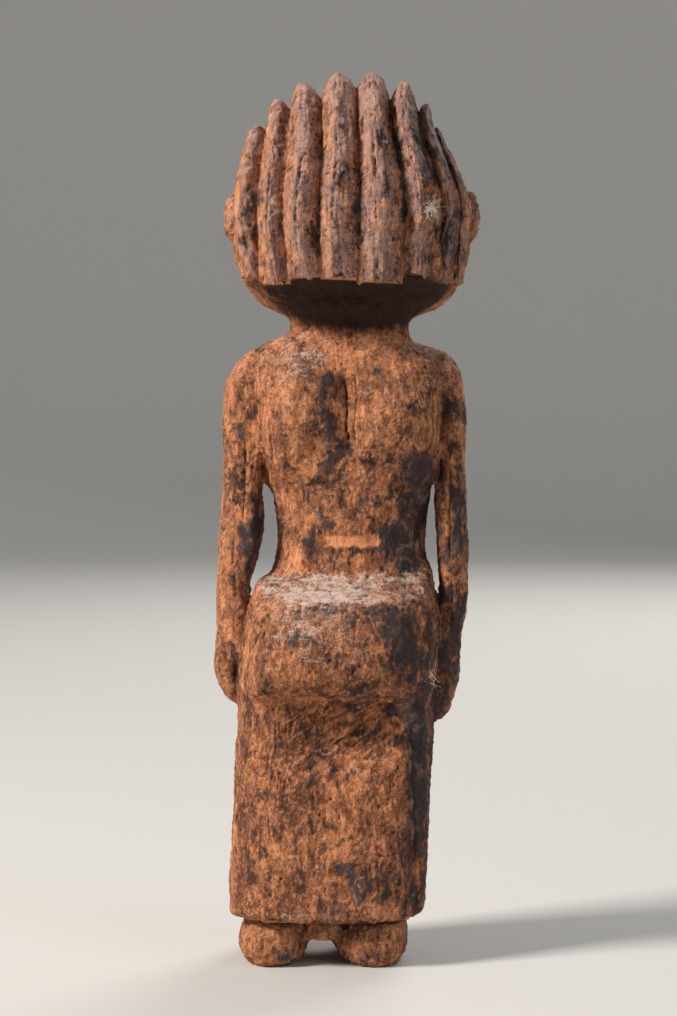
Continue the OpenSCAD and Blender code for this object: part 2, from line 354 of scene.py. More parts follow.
# Long drying cracks on the back: member, width and depth in millimetres, and the line's places
# in the member's box as (across, up)
CRACKS = [
    ("chest", 0.42, 1.5, [(0.515, 0.72), (0.50, 0.58), (0.508, 0.42), (0.49, 0.26)]),
    ("chest", 0.40, 1.0, [(0.46, 0.78), (0.455, 0.60), (0.465, 0.40), (0.455, 0.25)]),
    ("chest", 0.55, 1.8, [(0.035, 0.66), (0.03, 0.40), (0.04, 0.18)]),
    ("chest", 0.50, 1.2, [(0.965, 0.66), (0.93, 0.42), (0.90, 0.10)]),
    ("arm_left", 0.45, 1.0, [(0.30, 0.72), (0.28, 0.55), (0.36, 0.40)]),
    ("arm_left", 0.40, 0.8, [(0.55, 0.46), (0.60, 0.30), (0.52, 0.14)]),
    ("arm_right", 0.45, 1.2, [(0.62, 0.62), (0.60, 0.44), (0.66, 0.24)]),
    ("arm_right", 0.40, 1.0, [(0.55, 0.22), (0.60, 0.02)]),
    ("hip_shelf", 0.40, 0.9, [(0.955, 0.72), (0.945, 0.40), (0.95, 0.05)]),
    ("hip_shelf", 0.45, 1.1, [(0.06, 0.80), (0.05, 0.45), (0.065, 0.05)]),
    ("wrapper", 0.45, 1.0, [(0.135, 0.96), (0.12, 0.62), (0.10, 0.30), (0.105, 0.02)]),
    ("wrapper", 0.35, 0.4, [(0.60, 0.62), (0.605, 0.40), (0.59, 0.20)]),
    ("wrapper", 0.35, 0.4, [(0.54, 0.34), (0.545, 0.16), (0.535, 0.03)]),
    ("wrapper", 0.30, 0.6, [(0.82, 0.80), (0.83, 0.55), (0.81, 0.36)]),
    ("wrapper", 0.30, 0.6, [(0.30, 0.30), (0.29, 0.12)]),
]

# Where thick dark patina has stayed on the back: member, then each spot's place across and up
# its box, half width and half height in millimetres, and strength
PATINA_SPOTS = [
    ("chest", [(0.60, 0.72, 3, 3, 0.5), (0.64, 0.59, 5.5, 5, 0.3), (0.61, 0.45, 4, 4, 0.45),
        (0.68, 0.39, 5, 3, 0.3), (0.56, 0.27, 4, 4, 0.5), (0.59, 0.15, 4, 4.5, 0.45),
        (0.68, 0.05, 7, 3.5, 0.35), (0.27, 0.67, 2.5, 2.5, 0.6), (0.33, 0.76, 3, 3, 0.4),
        (0.12, 0.51, 2, 2, 0.45), (0.12, 0.15, 5.5, 5, 0.65), (-0.03, 0.20, 3, 4, 0.5),
        (0.07, 0.02, 5, 5, 0.6)]),
    ("abdomen", [(0.07, 0.66, 5, 9, 0.75), (0.25, 0.49, 6, 5, 0.6), (0.16, 0.28, 7, 7, 0.7),
        (0.47, 0.76, 5, 3, 0.4), (0.66, 0.58, 5, 2.5, 0.5), (0.76, 0.41, 2.5, 3, 0.65),
        (0.56, 0.30, 10, 1.6, 0.4), (0.73, 0.76, 2.5, 4, 0.35), (0.32, 0.84, 5, 2, 0.4)]),
    ("arm_left", [(0.30, 0.52, 3, 6, 0.4), (0.14, 0.32, 4, 8, 0.55), (0.36, 0.39, 3, 6, 0.3),
        (0.46, 0.22, 3, 3.5, 0.35)]),
    ("hand_left", [(0.33, 0.53, 2.5, 4, 0.5)]),
    ("arm_left", [(0.24, 0.14, 3, 3, 0.3), (0.36, 0.74, 2.5, 3, 0.35), (-0.12, 0.42, 3, 14, 0.5)]),
    ("arm_right", [(0.29, 0.44, 2, 5, 0.5), (0.45, 0.35, 2, 5, 0.4), (0.25, 0.77, 2, 2, 0.5),
        (0.60, 0.09, 4, 8, 0.3)]),
    ("hand_right", [(0.41, 0.88, 4, 8, 0.3)]),
    ("arm_right", [(0.72, 0.81, 1.5, 6, 0.45)]),
    ("hip_shelf", [(0.56, 0.73, 7, 3, 0.45), (0.72, 0.52, 5, 2, 0.5), (0.56, 0.35, 4, 3.5, 0.5),
        (0.26, 0.63, 6, 5, 0.7), (0.21, 0.40, 5, 5, 0.7), (0.32, 0.78, 5, 2.5, 0.6),
        (0.43, 0.10, 4, 2.5, 0.4), (0.58, 0.06, 3.5, 1.6, 0.55), (0.06, 0.59, 3, 16, 0.45),
        (0.36, 0.08, 3, 3, 0.4)]),
    ("wrapper", [(0.08, 0.78, 4, 22, 0.35), (0.11, 0.45, 4, 24, 0.3), (0.22, 0.93, 6, 4, 0.5),
        (0.31, 0.84, 6.5, 2, 0.5), (0.45, 0.81, 3.5, 1.6, 0.5), (0.61, 0.74, 4, 2.5, 0.5),
        (0.49, 0.65, 6, 3, 0.35), (0.85, 0.58, 1.6, 1.6, 0.5), (0.62, 0.46, 2.5, 3.6, 0.4),
        (0.40, 0.38, 3.5, 2, 0.45), (0.90, 0.38, 1, 2, 0.5), (0.83, 0.34, 2, 1.4, 0.45),
        (0.45, 0.26, 4.5, 3.5, 0.4), (0.34, 0.18, 6, 2.2, 0.6), (0.40, 0.12, 2, 4, 0.5),
        (0.26, 0.12, 2.6, 1.6, 0.45), (0.87, 0.25, 3, 4.5, 0.3), (0.82, 0.11, 2.6, 4, 0.3),
        (0.91, 0.94, 1.2, 3, 0.5)]),
    ("foot_left", [(0.23, 0.35, 3.5, 3, 0.45), (0.73, 0.24, 3, 2, 0.3)]),
    ("foot_right", [(0.65, 0.27, 4, 2.5, 0.35)]),
]

# The same on the braids, across and up the skull's box
BRAID_SPOTS = [
    (0.35, 0.73, 1.8, 3.2, 0.7), (0.55, 0.57, 2.2, 3, 0.7),
    (0.56, 0.82, 1.4, 1.6, 0.6), (0.18, 0.93, 4, 3, 0.6),
    (0.17, 0.66, 2.6, 9, 0.7), (0.06, 0.76, 2.6, 9, 0.6),
    (0.28, 0.55, 1.6, 18, 0.5), (0.36, 0.48, 1.2, 4, 0.55),
    (0.70, 0.50, 1.3, 1.6, 0.5), (0.73, 0.66, 1.6, 2, 0.4),
    (0.97, 0.22, 1.6, 1.6, 0.6), (0.95, 0.35, 2, 2.4, 0.4),
    (0.91, 0.43, 2, 2.6, 0.45), (0.08, 0.29, 2.6, 9, 0.55),
    (0.47, 0.35, 1.4, 15, 0.5), (0.65, 0.24, 1.5, 8, 0.45),
]


def drift(z):
    """Sideways lean of the figure's centre line at a height."""
    return SOLE_X * np.clip(1 - z / WAIST_Z, 0, 1)


def side_plane(z, x):
    """Distance from the centre line to the saw cuts that part the arms from the body."""
    hips = BOX["arm_left"][LOW][0] + 2.4
    chest = BOX["chest"][HIGH][0] + 0.5
    waist_left = BOX["abdomen"][HIGH][0] + 0.4
    waist_right = chest - 1.4
    levels = [WAIST_Z - 2, WAIST_Z + 5, CHEST_Z + 6, CHEST_Z + 10]
    left = np.interp(z, levels, [hips, waist_left, waist_left, chest])
    right = np.interp(z, levels, [hips, waist_right, waist_right, chest])
    return np.where(x > 0, left, right)


def rough_out(grid):
    """Join copies of the CAD members into one closed block."""
    whole = bmesh.new()
    for name in BLANK_MEMBERS:
        one = bmesh.new()
        one.from_mesh(frame["nodes"][name].data)
        bmesh.ops.remove_doubles(one, verts=one.verts, dist=0.001 * MM)
        loose = made_mesh(one, "loose_member")
        whole.from_mesh(loose)
        bpy.data.meshes.remove(loose)
    return remeshed(made_mesh(whole, "rough_block"), grid)


def chamfered(points):
    """Cut the upright corners of the hips and the wrapper back to flat facets."""
    x, _, z = points.T
    for member, lowest, highest, proud, *sides in CHAMFERS:
        low, high = BOX[member]
        within = (z > lowest) & (z < highest)
        for side, wall, (inset, slope) in zip((1, -1), (high[0], low[0]), sides):
            past = side * (x - (wall - side * inset))
            back = np.minimum(points[:, 1], high[1] + proud - slope * past)
            points[:, 1] = np.where(within & (past > 0), back, points[:, 1])


def fanned(points):
    """Draw the top of the head in towards its middle, so that the crown is a dome."""
    off = points[:, 0] - HEAD_X
    inward = np.where(off > 0, 0.09, 0.23) * ease(points[:, 2], CROWN_Z - 9, CROWN_Z + 22)
    points[:, 0] = HEAD_X + off * (1 - inward)


def shaped(points):
    """Move the block's points by the shaping cuts, the grooves and the facets."""
    moved = points.copy()
    for member, where, radii, push in SHAPING:
        moved += spot(points, place(member, *where), radii)[:, None] * np.array(push)
    for member, side, width, depth, line in GROOVES:
        ends = sorted((place(member, x, 0, z) for x, z in line), key=lambda end: end[2])
        middle = np.interp(points[:, 2], [end[2] for end in ends], [end[0] for end in ends])
        along = ease(points[:, 2], ends[0][2] - 2, ends[0][2] + 3) \
            - ease(points[:, 2], ends[1][2] - 3, ends[1][2] + 2)
        cut = np.exp(-((points[:, 0] - middle) / width) ** 2) * along
        moved[:, 1] -= side * depth * cut * ease(side * points[:, 1], 2, 8)
    moved[:, 0] += HIP_SHIFT * (1 - ease(points[:, 2], HIP_Z, WAIST_Z))
    chamfered(moved)
    head = points[:, 2] > CHIN_Z + 1
    half = np.interp(points[:, 2] - CHIN_Z, HEAD_HEIGHTS, HEAD_HALVES)
    off = moved[:, 0] - HEAD_X
    moved[head, 0] = HEAD_X + np.clip(off, -half, half)[head]
    fanned(moved)
    return moved


def carve_face(points):
    """How far each point of the face stands out (+) or is cut back (-), along -Y."""
    x = np.abs(points[:, 0] - HEAD_X)
    y = points[:, 1]
    z = points[:, 2]
    front = ease(-y, -FACE_FRONT_Y - 9, -FACE_FRONT_Y - 5)
    height = BOX["braid_4"][HIGH][2] - CHIN_Z
    eye_z = CHIN_Z + 0.49 * height
    mouth_z = CHIN_Z + 0.185 * height
    eye_x = 11.2

    def oval(cx, cz, rx, rz, soft=0.35):
        d = np.sqrt(((x - cx) / rx) ** 2 + ((z - cz) / rz) ** 2)
        return 1 - ease(d, 1 - soft, 1 + soft)

    brow_line = eye_z + 7.0 - ((x - 9.5) / 11.0) ** 2 * 3.4
    brow = np.exp(-((z - brow_line) / 1.5) ** 2) * (1 - ease(x, 18.5, 22))
    out = -2.6 * oval(eye_x, eye_z + 0.6, 8.6, 5.2, 0.5)
    out += 2.2 * oval(eye_x, eye_z, 6.6, 3.1, 0.4)
    out -= 1.0 * np.exp(-((z - eye_z + 0.25 * ((x - eye_x) / 6) ** 2) / 0.45) ** 2) \
        * oval(eye_x, eye_z, 6.0, 3.0, 0.2)
    out += 1.5 * brow
    out += 1.3 * oval(4.2, CHIN_Z + 0.295 * height, 2.6, 2.2, 0.6)
    out += 1.0 * oval(17, CHIN_Z + 0.31 * height, 8, 8, 0.9)
    upper = mouth_z + 1.5 - 0.9 * np.exp(-(x / 1.6) ** 2)
    out += 1.7 * np.exp(-((z - upper) / 1.25) ** 2) * (1 - ease(x, 6.2, 8.8))
    out += 1.6 * np.exp(-((z - mouth_z + 1.9) / 1.4) ** 2) * (1 - ease(x, 5.2, 7.6))
    out -= 1.5 * np.exp(-((z - mouth_z + 0.1) / 0.5) ** 2) * (1 - ease(x, 6.4, 8.4))
    out -= 0.7 * oval(0, mouth_z - 5.2, 5.5, 1.6, 0.7)
    out += 1.3 * oval(0, CHIN_Z + 3.6, 6.0, 3.4, 0.8)
    return out * front


def crack_depth(points, normals):
    """Depth of the drying cracks in the back of the figure at each point."""
    depth = np.zeros(len(points))
    wander = 0.35 * bumps(points, (4, 4, 5), 71, 2)
    behind = ease(normals[:, 1], 0.05, 0.35)
    for member, width, deep, line in CRACKS:
        track = np.array([place(member, across, 0, up)[[0, 2]] for across, up in line])
        track = track[np.argsort(track[:, 1])]
        x = np.interp(points[:, 2], track[:, 1], track[:, 0])
        middle, half = track[:, 1].mean(), np.ptp(track[:, 1]) / 2
        fade = 1 - ease(np.abs(points[:, 2] - middle) / half, 0.72, 1.0)
        cut = np.clip(1 - np.abs(points[:, 0] + wander - x) / width, 0, 1)
        depth = np.maximum(depth, deep * cut * fade * behind)
    return depth


def strayed(points):
    """A soft three-way wander that frays the edges of the patches."""
    return np.stack([bumps(points, (3, 3, 4), seed, 2, 0.7) for seed in (81, 83, 85)], 1)


def patina_and_shade_field(points):
    """Where old dark patina has stayed, with painted shade added on the figure's right side: above
    0.5 it shows dark.
    """
    field = 0.22 + 0.21 * bumps(points, (6.5, 6.5, 9), 5, 3, 0.6)
    field += 0.10 * bumps(points, (1.9, 1.9, 3.0), 9, 2, 0.7)
    warp = points + 1.6 * strayed(points)
    for member, spots in PATINA_SPOTS:
        for across, up, wide, tall, strength in spots:
            middle = place(member, across, 1.0, up)
            field += 0.8 * strength * spot(warp, middle, (wide, 14, tall))
    # Painted shade: the figure's right side, away from the key light, is darkened through the
    # patina field.
    shaded = 1.5 * ease(-points[:, 0], 14, 21) * (1 - ease(points[:, 2], HIP_Z, HIP_Z + 20))
    shaded += 0.7 * ease(-points[:, 0], 11, 20) * ease(points[:, 2], HIP_Z, HIP_Z + 20) \
        * (1 - ease(points[:, 2], CHEST_Z + 4, CHEST_Z + 14))
    shaded *= ease(points[:, 1], -8, 8)
    return np.minimum(field, 0.72) + 0.08 * ease(-points[:, 0], 18, 34) + 0.20 * shaded


def dust_field(points, normals):
    """Pale dust that has settled on ledges, the shoulders and the hip shelf."""
    up = ease(normals[:, 2], 0.15, 0.75)
    z = points[:, 2]
    shelf = ease(z, WAIST_Z - 7, WAIST_Z - 3) - ease(z, WAIST_Z + 1, WAIST_Z + 6)
    behind = ease(points[:, 1], 5, 13)
    rim = spot(points, place("hip_shelf", 0.60, 1.0, 0.92), (27, 12, 4.5)) * behind
    hem = spot(points, place("wrapper", 0.62, 1.0, 0.03), (18, 10, 1.6)) * behind
    streak = spot(points, place("hip_shelf", 0.72, 1.0, 0.66), (9, 9, 3.5))
    shoulders = spot(points, place("chest", 0.80, 1.0, 0.84), (11, 14, 7))
    far = spot(points, place("arm_right", 0.5, 0.8, 0.97), (8, 12, 8))
    scratched = 0.34 * bumps(points, (5.5, 3.5, 0.8), 33, 3, 0.7)
    hips = spot(points, place("hip_shelf", 0.62, 1.0, 0.62), (19, 12, 12)) * behind
    worn = 0.30 * bumps(points, (8, 8, 5), 35, 2)
    dust = 0.22 * up + (0.38 + worn) * up * shelf * behind + 0.56 * rim + 0.34 * streak
    dust += 0.38 * shoulders + 0.25 * far + 0.38 * hips + 0.40 * hem
    return np.clip(dust + scratched, 0, 1.1)


def trimmings(points, normals):
    """Carved details of the cloth, toes, fingers and the gouged hollow, in millimetres out."""
    x, y, z = points.T
    front = ease(-normals[:, 1], 0.1, 0.5)
    out = np.zeros(len(points))
    for level in (WAIST_Z - 4.5, WAIST_Z - 9):
        out += 1.1 * np.exp(-((z - level) / 1.5) ** 2) * front
    cloth = ease(z, HEM_Z - 0.5, HEM_Z) - ease(z, WAIST_Z - 12, WAIST_Z - 9)
    slope = (WAIST_Z - z) * 0.13
    lap = SOLE_X + 9 - slope - x
    out += 1.1 * ease(lap, -0.35, 0.35) * (1 - ease(lap, 2, 18)) * cloth * front
    lap = SOLE_X + 14 - slope - x
    out -= 0.5 * np.exp(-(lap / 0.6) ** 2) * cloth * front
    panel = ease(x, -19.5, -18.3) - ease(x, 25.8, 27)
    low_down = 1 - ease(z, HEM_Z + 12, HEM_Z + 40)
    out += 0.75 * panel * low_down * cloth * ease(normals[:, 1], 0, 0.4)
    for foot in ("foot_left", "foot_right"):
        middle = place(foot, 0.5, 0, 0)[0]
        for toe in (-5.6, -2.1, 1.4, 4.9):
            gap = np.exp(-((x - middle - toe) / 0.55) ** 2)
            out -= 1.3 * gap * (1 - ease(y, -17, -12)) * (1 - ease(z, 7, 11))
    for hand in ("hand_left", "hand_right"):
        low, high = BOX[hand]
        near = ease(x, low[0] - 1, low[0] + 1) - ease(x, high[0] - 1, high[0] + 1.5)
        reach = ease(z, low[2] - 1, low[2]) - ease(z, low[2] + 11, low[2] + 14)
        for finger in (-3.2, 0.1, 3.4):
            gap = np.exp(-((y - finger) / 0.5) ** 2)
            out -= 0.8 * gap * near * reach
    slant = np.stack([0.82 * x - 0.57 * z, y, 0.57 * x + 0.82 * z], 1)
    hollow = spot(points, place("wrapper", 0.46, 1.0, 0.84), (17, 14, 13))
    out += 0.75 * hollow * bumps(slant, (6.5, 4, 1.25), 91, 2, 0.6)
    return out


def waist_cut(points):
    """1 inside the fresh pale cut across the back of the waist, 0 outside it."""
    notch = np.abs(points - place("abdomen", 0.5, 1.0, 0.42)) / (9.3, 12, 2.0)
    frayed = notch.max(axis=1) + 0.12 * bumps(points, (2, 2, 1.4), 45, 2)
    return 1 - ease(frayed, 0.8, 1.0)


def painted_shade_field(points):
    """Painted shade under the hair and in the gouged hollow, and a painted shadow line under the
    hem.
    """
    behind = ease(points[:, 1], -4, 4)
    under_hair = spot(points, place("jaw", 0.42, 0.9, 0.50), (30, 24, 7.5)) * behind
    hollow = spot(points, place("wrapper", 0.46, 1.0, 0.84), (17, 14, 11))
    under_hem = spot(points, place("wrapper", 0.45, 1.0, -0.012), (26, 16, 1.5))
    return 1.1 * under_hair + 0.16 * hollow + 0.5 * under_hem


def weathering(points, patina_and_shade, coarse=1.0):
    """How far wear moves each point along its normal, in millimetres."""
    near, second, number = chips(points + 1.2 * bumps(points, 7, 21)[:, None], (8, 8, 15), 3)
    facets = 0.30 * (1 - ease(second - near, 0.0, 0.5)) + 0.12 * number
    swell = 0.55 * bumps(points, (12, 12, 18), 13, 2)
    furrow = 1 - np.abs(bumps(points, (1.2, 1.2, 20), 17, 2, 0.6))
    grain = -0.30 * np.clip(furrow - 0.66, 0, 1) / 0.34
    fine = 0.10 * bumps(points, (0.9, 0.9, 2.2), 19, 2, 0.7)
    rough = 0.17 * bumps(points, (2.4, 2.4, 3.4), 23, 2, 0.6)
    near, _, number = chips(points, (3.0, 3.0, 3.8), 29)
    pits = -0.45 * (1 - ease(near, 0.10, 0.26)) * (number > 0.5)
    flakes = 0.22 * ease(patina_and_shade, 0.42, 0.56)
    torn = ease(bumps(points, (9, 9, 14), 37), 0.05, 0.55)
    speckle = 0.26 * bumps(points, (1.25, 1.25, 1.6), 39, 2, 0.7)
    return coarse * (facets + swell) + grain * (0.2 + 0.9 * torn) + fine + speckle \
        + rough * (0.7 + torn) + pits + flakes


def settle(mesh, edges, points, normals, painted_shade=0.0, bare=0.0):
    """Record for the finishes how hollow or how proud each point lies against its surroundings,
    and add painted shade to the widest hollows.
    """
    tight = eased(points, edges, TIGHT_ROUNDS)
    wide = eased(tight, edges, WIDE_ROUNDS)
    form = eased(wide, edges, FORM_ROUNDS)
    # Small hollows later darken the colour as dirt and painted shade, proud points pale it as wear
    # and painted highlight.
    hollow = 0.5 + 1.1 * np.einsum("ij,ij->i", tight - points, normals) \
        + 0.75 * np.einsum("ij,ij->i", wide - points, normals)
    store(mesh, "hollow", np.clip(hollow + bare * (0.30 - hollow), 0, 1))
    # The widest hollows, with the painted shade, darken the colour as dirt and painted shade.
    deep = 0.5 + 0.22 * np.einsum("ij,ij->i", form - points, normals)
    store(mesh, "form", np.clip(deep + painted_shade - 0.2 * bare, 0, 1))


def carve_blank(grid):
    """The whole figure below the hair as one carved and weathered skin, ready to be sawn."""
    block = rough_out(grid * 2)
    edges = edges_of(block)
    points = eased(points_of(block), edges, BLOCK_ROUNDS)
    set_points(block, shaped(points))
    skin = remeshed(block, grid)
    edges = edges_of(skin)
    points = eased(points_of(skin), edges, SKIN_ROUNDS)
    set_points(skin, points)
    normals = normals_of(skin)
    face = np.clip((points[:, 2] - CHIN_Z) / 3, 0, 1) * ease(-points[:, 1], -FACE_Y, -FACE_Y + 8)
    points[:, 1] -= carve_face(points)
    patina_and_shade = patina_and_shade_field(points)
    depth = crack_depth(points, normals)
    amount = weathering(points, patina_and_shade) * (1 - 0.62 * face) - depth
    amount += trimmings(points, normals)
    amount += 0.9 * spot(points, place("jaw", 0.5, 0.9, 0.6), (40, 22, 7)) \
        * ease(points[:, 1], -4, 4) * bumps(points, (4.5, 4.5, 2.6), 93, 2, 0.7)
    bare = waist_cut(points)
    amount += bare * (0.25 * bumps(points, (9, 9, 5), 46) - 0.55 - amount)
    points += normals * amount[:, None]
    points[:, 2] = np.maximum(points[:, 2], 0)
    set_points(skin, points)
    normals = normals_of(skin)
    # Painted shade under the hair, in the hollow and under the hem is added to the wide hollows
    # that darken the colour.
    settle(skin, edges, points, normals, painted_shade_field(points), bare)
    store(skin, "patina_and_shade", patina_and_shade - 0.8 * bare - 0.25 * ease(depth, 0.2, 0.6))
    store(skin, "dust", dust_field(points, normals) - bare)
    store(skin, "bare", bare)
    store(skin, "skin_normal", normals)
    points[:, 0] -= drift(points[:, 2])
    points[:, 0] /= side_plane(points[:, 2], points[:, 0])
    set_points(skin, points)
    skin.name = "carved_blank"


# ---------------------------------------------------------------- sawing the members apart

# What is kept at a saw cut: the cut's axis, and the side of it that is cleared away
KEPT = {"above": (2, -1), "below": (2, 1), "left of": (0, -1), "right of": (0, 1),
        "behind": (1, -1), "before": (1, 1)}
BRIDGE_X = (BOX["leg_bridge"][HIGH][0] - BOX["leg_bridge"][LOW][0]) / 2 / side_plane(0, 1)
NOSE_Y = FACE_FRONT_Y - 1.6
BREAST_Y = CHEST_FRONT_Y - 0.9
NAVEL_Y = BELLY_FRONT_Y - 1.7
TRUNK = [("left of", -1), ("right of", 1)]

# The saw cuts that free each member; sideways places are in shares of side_plane
CUTS = {
    "foot_left": [("below", HEM_Z), ("left of", BRIDGE_X)],
    "foot_right": [("below", HEM_Z), ("right of", -BRIDGE_X)],
    "leg_bridge": [("below", HEM_Z), ("left of", -BRIDGE_X), ("right of", BRIDGE_X)],
    "wrapper": [("above", HEM_Z), ("below", HIP_Z)] + TRUNK,
    "hip_shelf": [("above", HIP_Z), ("below", WAIST_Z)] + TRUNK,
    "abdomen": [("above", WAIST_Z), ("below", CHEST_Z), ("behind", NAVEL_Y)] + TRUNK,
    "navel": [("above", WAIST_Z), ("below", CHEST_Z), ("before", NAVEL_Y)] + TRUNK,
    "chest": [("above", CHEST_Z), ("below", NECK_Z), ("behind", BREAST_Y)] + TRUNK,
    "breast_left": [("above", CHEST_Z), ("below", NECK_Z), ("before", BREAST_Y), ("left of", 0)],
    "breast_right": [("above", CHEST_Z), ("below", NECK_Z), ("before", BREAST_Y), ("right of", 0)],
    "arm_left": [("above", WRIST_Z), ("below", NECK_Z), ("left of", 1)],
    "arm_right": [("above", WRIST_Z), ("below", NECK_Z), ("right of", -1)],
    "hand_left": [("above", HEM_Z), ("below", WRIST_Z), ("left of", 1)],
    "hand_right": [("above", HEM_Z), ("below", WRIST_Z), ("right of", -1)],
    "neck": [("above", NECK_Z), ("below", CHIN_Z)],
    "jaw": [("above", CHIN_Z), ("below", JAW_TOP_Z), ("behind", FACE_Y)],
    "skull": [("above", JAW_TOP_Z), ("behind", FACE_Y)],
    "face": [("above", CHIN_Z), ("before", FACE_Y), ("behind", NOSE_Y)],
    "nose": [("above", CHIN_Z), ("before", NOSE_Y)],
}


def sawn(name):
    """Free one member from the blank and close its sawn faces."""
    bm = bmesh.new()
    bm.from_mesh(bpy.data.meshes["carved_blank"])
    mark = bm.faces.layers.int.new("sawn")
    for kept, place_mm in CUTS[name]:
        axis, side = KEPT[kept]
        point, normal = Vector((0, 0, 0)), Vector((0, 0, 0))
        point[axis] = place_mm * MM
        normal[axis] = side
        everything = bm.verts[:] + bm.edges[:] + bm.faces[:]
        cut = bmesh.ops.bisect_plane(bm, geom=everything, dist=0.0002 * MM, plane_co=point,
                                     plane_no=normal, clear_outer=True)
        rim = [e for e in cut["geom_cut"] if isinstance(e, bmesh.types.BMEdge) and e.is_boundary]
        if rim:
            lid = bmesh.ops.triangle_fill(bm, use_beauty=False, use_dissolve=False, edges=rim,
                                          normal=normal)
            for face in lid["geom"]:
                if isinstance(face, bmesh.types.BMFace):
                    face[mark] = 1
    mesh = made_mesh(bm, "carved_" + name)
    points = points_of(mesh)
    points[:, 0] *= side_plane(points[:, 2], points[:, 0])
    points[:, 0] += drift(points[:, 2])
    grown_along(mesh, points)
    set_points(mesh, points)
    shade_as_one(mesh)
    return mesh


def shade_as_one(mesh):
    """Give the carved surface the shading that it had before the members were sawn apart."""
    mesh.shade_smooth()
    corners = fetched(mesh.loops, "vertex_index", 1, np.int64)
    normals = fetched(mesh.attributes["skin_normal"].data, "vector", 3, np.float32)[corners]
    totals = fetched(mesh.polygons, "loop_total", 1, np.int64)
    on_lid = np.repeat(fetched(mesh.attributes["sawn"].data, "value", 1, np.int32) > 0, totals)
    flat = fetched(mesh.polygons, "normal", 3, np.float32)
    normals[on_lid] = np.repeat(flat, totals, axis=0)[on_lid]
    length = np.linalg.norm(normals, axis=1)
    normals /= np.maximum(length, 1e-6)[:, None]
    mesh.normals_split_custom_set(normals.tolist())
    mesh.attributes.remove(mesh.attributes["skin_normal"])
    mesh.attributes.remove(mesh.attributes["sawn"])


def carve_members(names, finishes):
    """Saw the named members out of the blank and finish each one."""
    for name in names:
        slot = SLOTS[name]
        finish_piece("carved_" + name, sawn(name), [name], finishes[slot])


# ---------------------------------------------------------------- braids

# Crest outline across a braid, from its left edge: share of the width against share of height
CREST = [(0, 0), (0.06, 0.30), (0.17, 0.74), (0.30, 0.96), (0.44, 1.0), (0.58, 0.93),
         (0.74, 0.66), (0.89, 0.27), (1, 0)]

# How far each braid is raised or sunk at the crown, in millimetres
CROWN_LIFT = [-2.6, -2.4, -1.4, 0.2, 0.3, 1.5, 1.4, 0.6]

# Degrees that a braid bends from the back of the head over to the hairline
BOW = 161

# Millimetres that a braid's hidden core lies below its crest, that each braid laps over its
# neighbours, and that the outermost two turn in behind the ears
CORE_DEPTH = 9.5
LAP = 0.5
SIDE_DIP = 3.6

# Height of the valleys between braids as a share of the lower crest: the two on the left and the
# others. At the outer edges of the hair it is a share of the outermost braid's own crest.
VALLEY_LEFT, VALLEY_RIGHT, VALLEY_EDGE = 0.91, 0.865, 0.72

# Spacing of the points along a braid, as a share of their spacing across it
ROW = 1.1


def braid_outline(i, step):
    """Section of braid i as (sideways, outward) points in millimetres, left edge first."""
    low, high = BOX[f"braid_{i}"]
    peak = high[1]
    width = high[0] - low[0]

    def valley(j):
        if not 1 <= j <= BRAIDS:
            return VALLEY_EDGE * peak
        share = VALLEY_LEFT if max(i, j) < 4 else VALLEY_RIGHT
        return min(peak, BOX[f"braid_{j}"][HIGH][1]) * share

    left, right = valley(i - 1), valley(i + 1)
    count = max(int((width + 0.5 * (2 * peak - left - right)) / step), 10)
    shares = np.linspace(0, 1, count + 1)
    rise = np.interp(shares, *np.array(CREST).T)
    base = left + (right - left) * shares
    outward = base + rise * (peak - base)
    sideways = high[0] + LAP - shares * (width + 2 * LAP)
    core = max(min(peak - CORE_DEPTH, left - 3, right - 3), 3)
    back = [(sideways[-1] + SIDE_DIP * (i == BRAIDS), core), (sideways.mean(), core),
            (sideways[0] - SIDE_DIP * (i == 1), core)]
    return list(zip(sideways, outward)) + back


def bend_braid(i, step):
    """Spin the section over the crown from the hairline to the back, then draw it down."""
    outline = braid_outline(i, step)
    peak = BOX[f"braid_{i}"][HIGH][1]
    bm = bmesh.new()
    verts = [bm.verts.new((x * MM, r * MM, CROWN_Z * MM)) for x, r in outline]
    ring = [bm.edges.new((verts[k], verts[(k + 1) % len(verts)])) for k in range(len(verts))]
    bow = math.radians(BOW)
    steps = max(int(bow * peak / (step * ROW)), 24)
    spun = bmesh.ops.spin(bm, geom=verts + ring, cent=(0, 0, CROWN_Z * MM), axis=(1, 0, 0),
                          dvec=(0, 0, 0), angle=bow, steps=steps, use_merge=False)
    bmesh.ops.edgeloop_fill(bm, edges=[e for e in spun["geom_last"]
                                       if isinstance(e, bmesh.types.BMEdge)])
    drop = CROWN_Z - BRAID_END_Z
    falls = int(drop / (step * ROW))
    edge = ring
    for _ in range(falls):
        out = bmesh.ops.extrude_edge_only(bm, edges=edge)["geom"]
        edge = [g for g in out if isinstance(g, bmesh.types.BMEdge) and g.is_boundary]
        moved = [g for g in out if isinstance(g, bmesh.types.BMVert)]
        bmesh.ops.translate(bm, verts=moved, vec=(0, 0, -drop / falls * MM))
    bmesh.ops.edgeloop_fill(bm, edges=edge)
    bmesh.ops.recalc_face_normals(bm, faces=bm.faces)
    return made_mesh(bm, f"carved_braid_{i}")


def along_braids(points):
    """Each point's distance along the braids, its radius from the crown's axis and its turn."""
    y, z = points[:, 1], points[:, 2] - CROWN_Z
    hanging = (z < 0) & (y > 0)
    radius = np.where(hanging, y, np.hypot(y, z))
    turn = np.where(hanging, 0, np.arctan2(z, y))
    along = np.where(hanging, z, turn * CROWN_R)
    return along, radius, turn


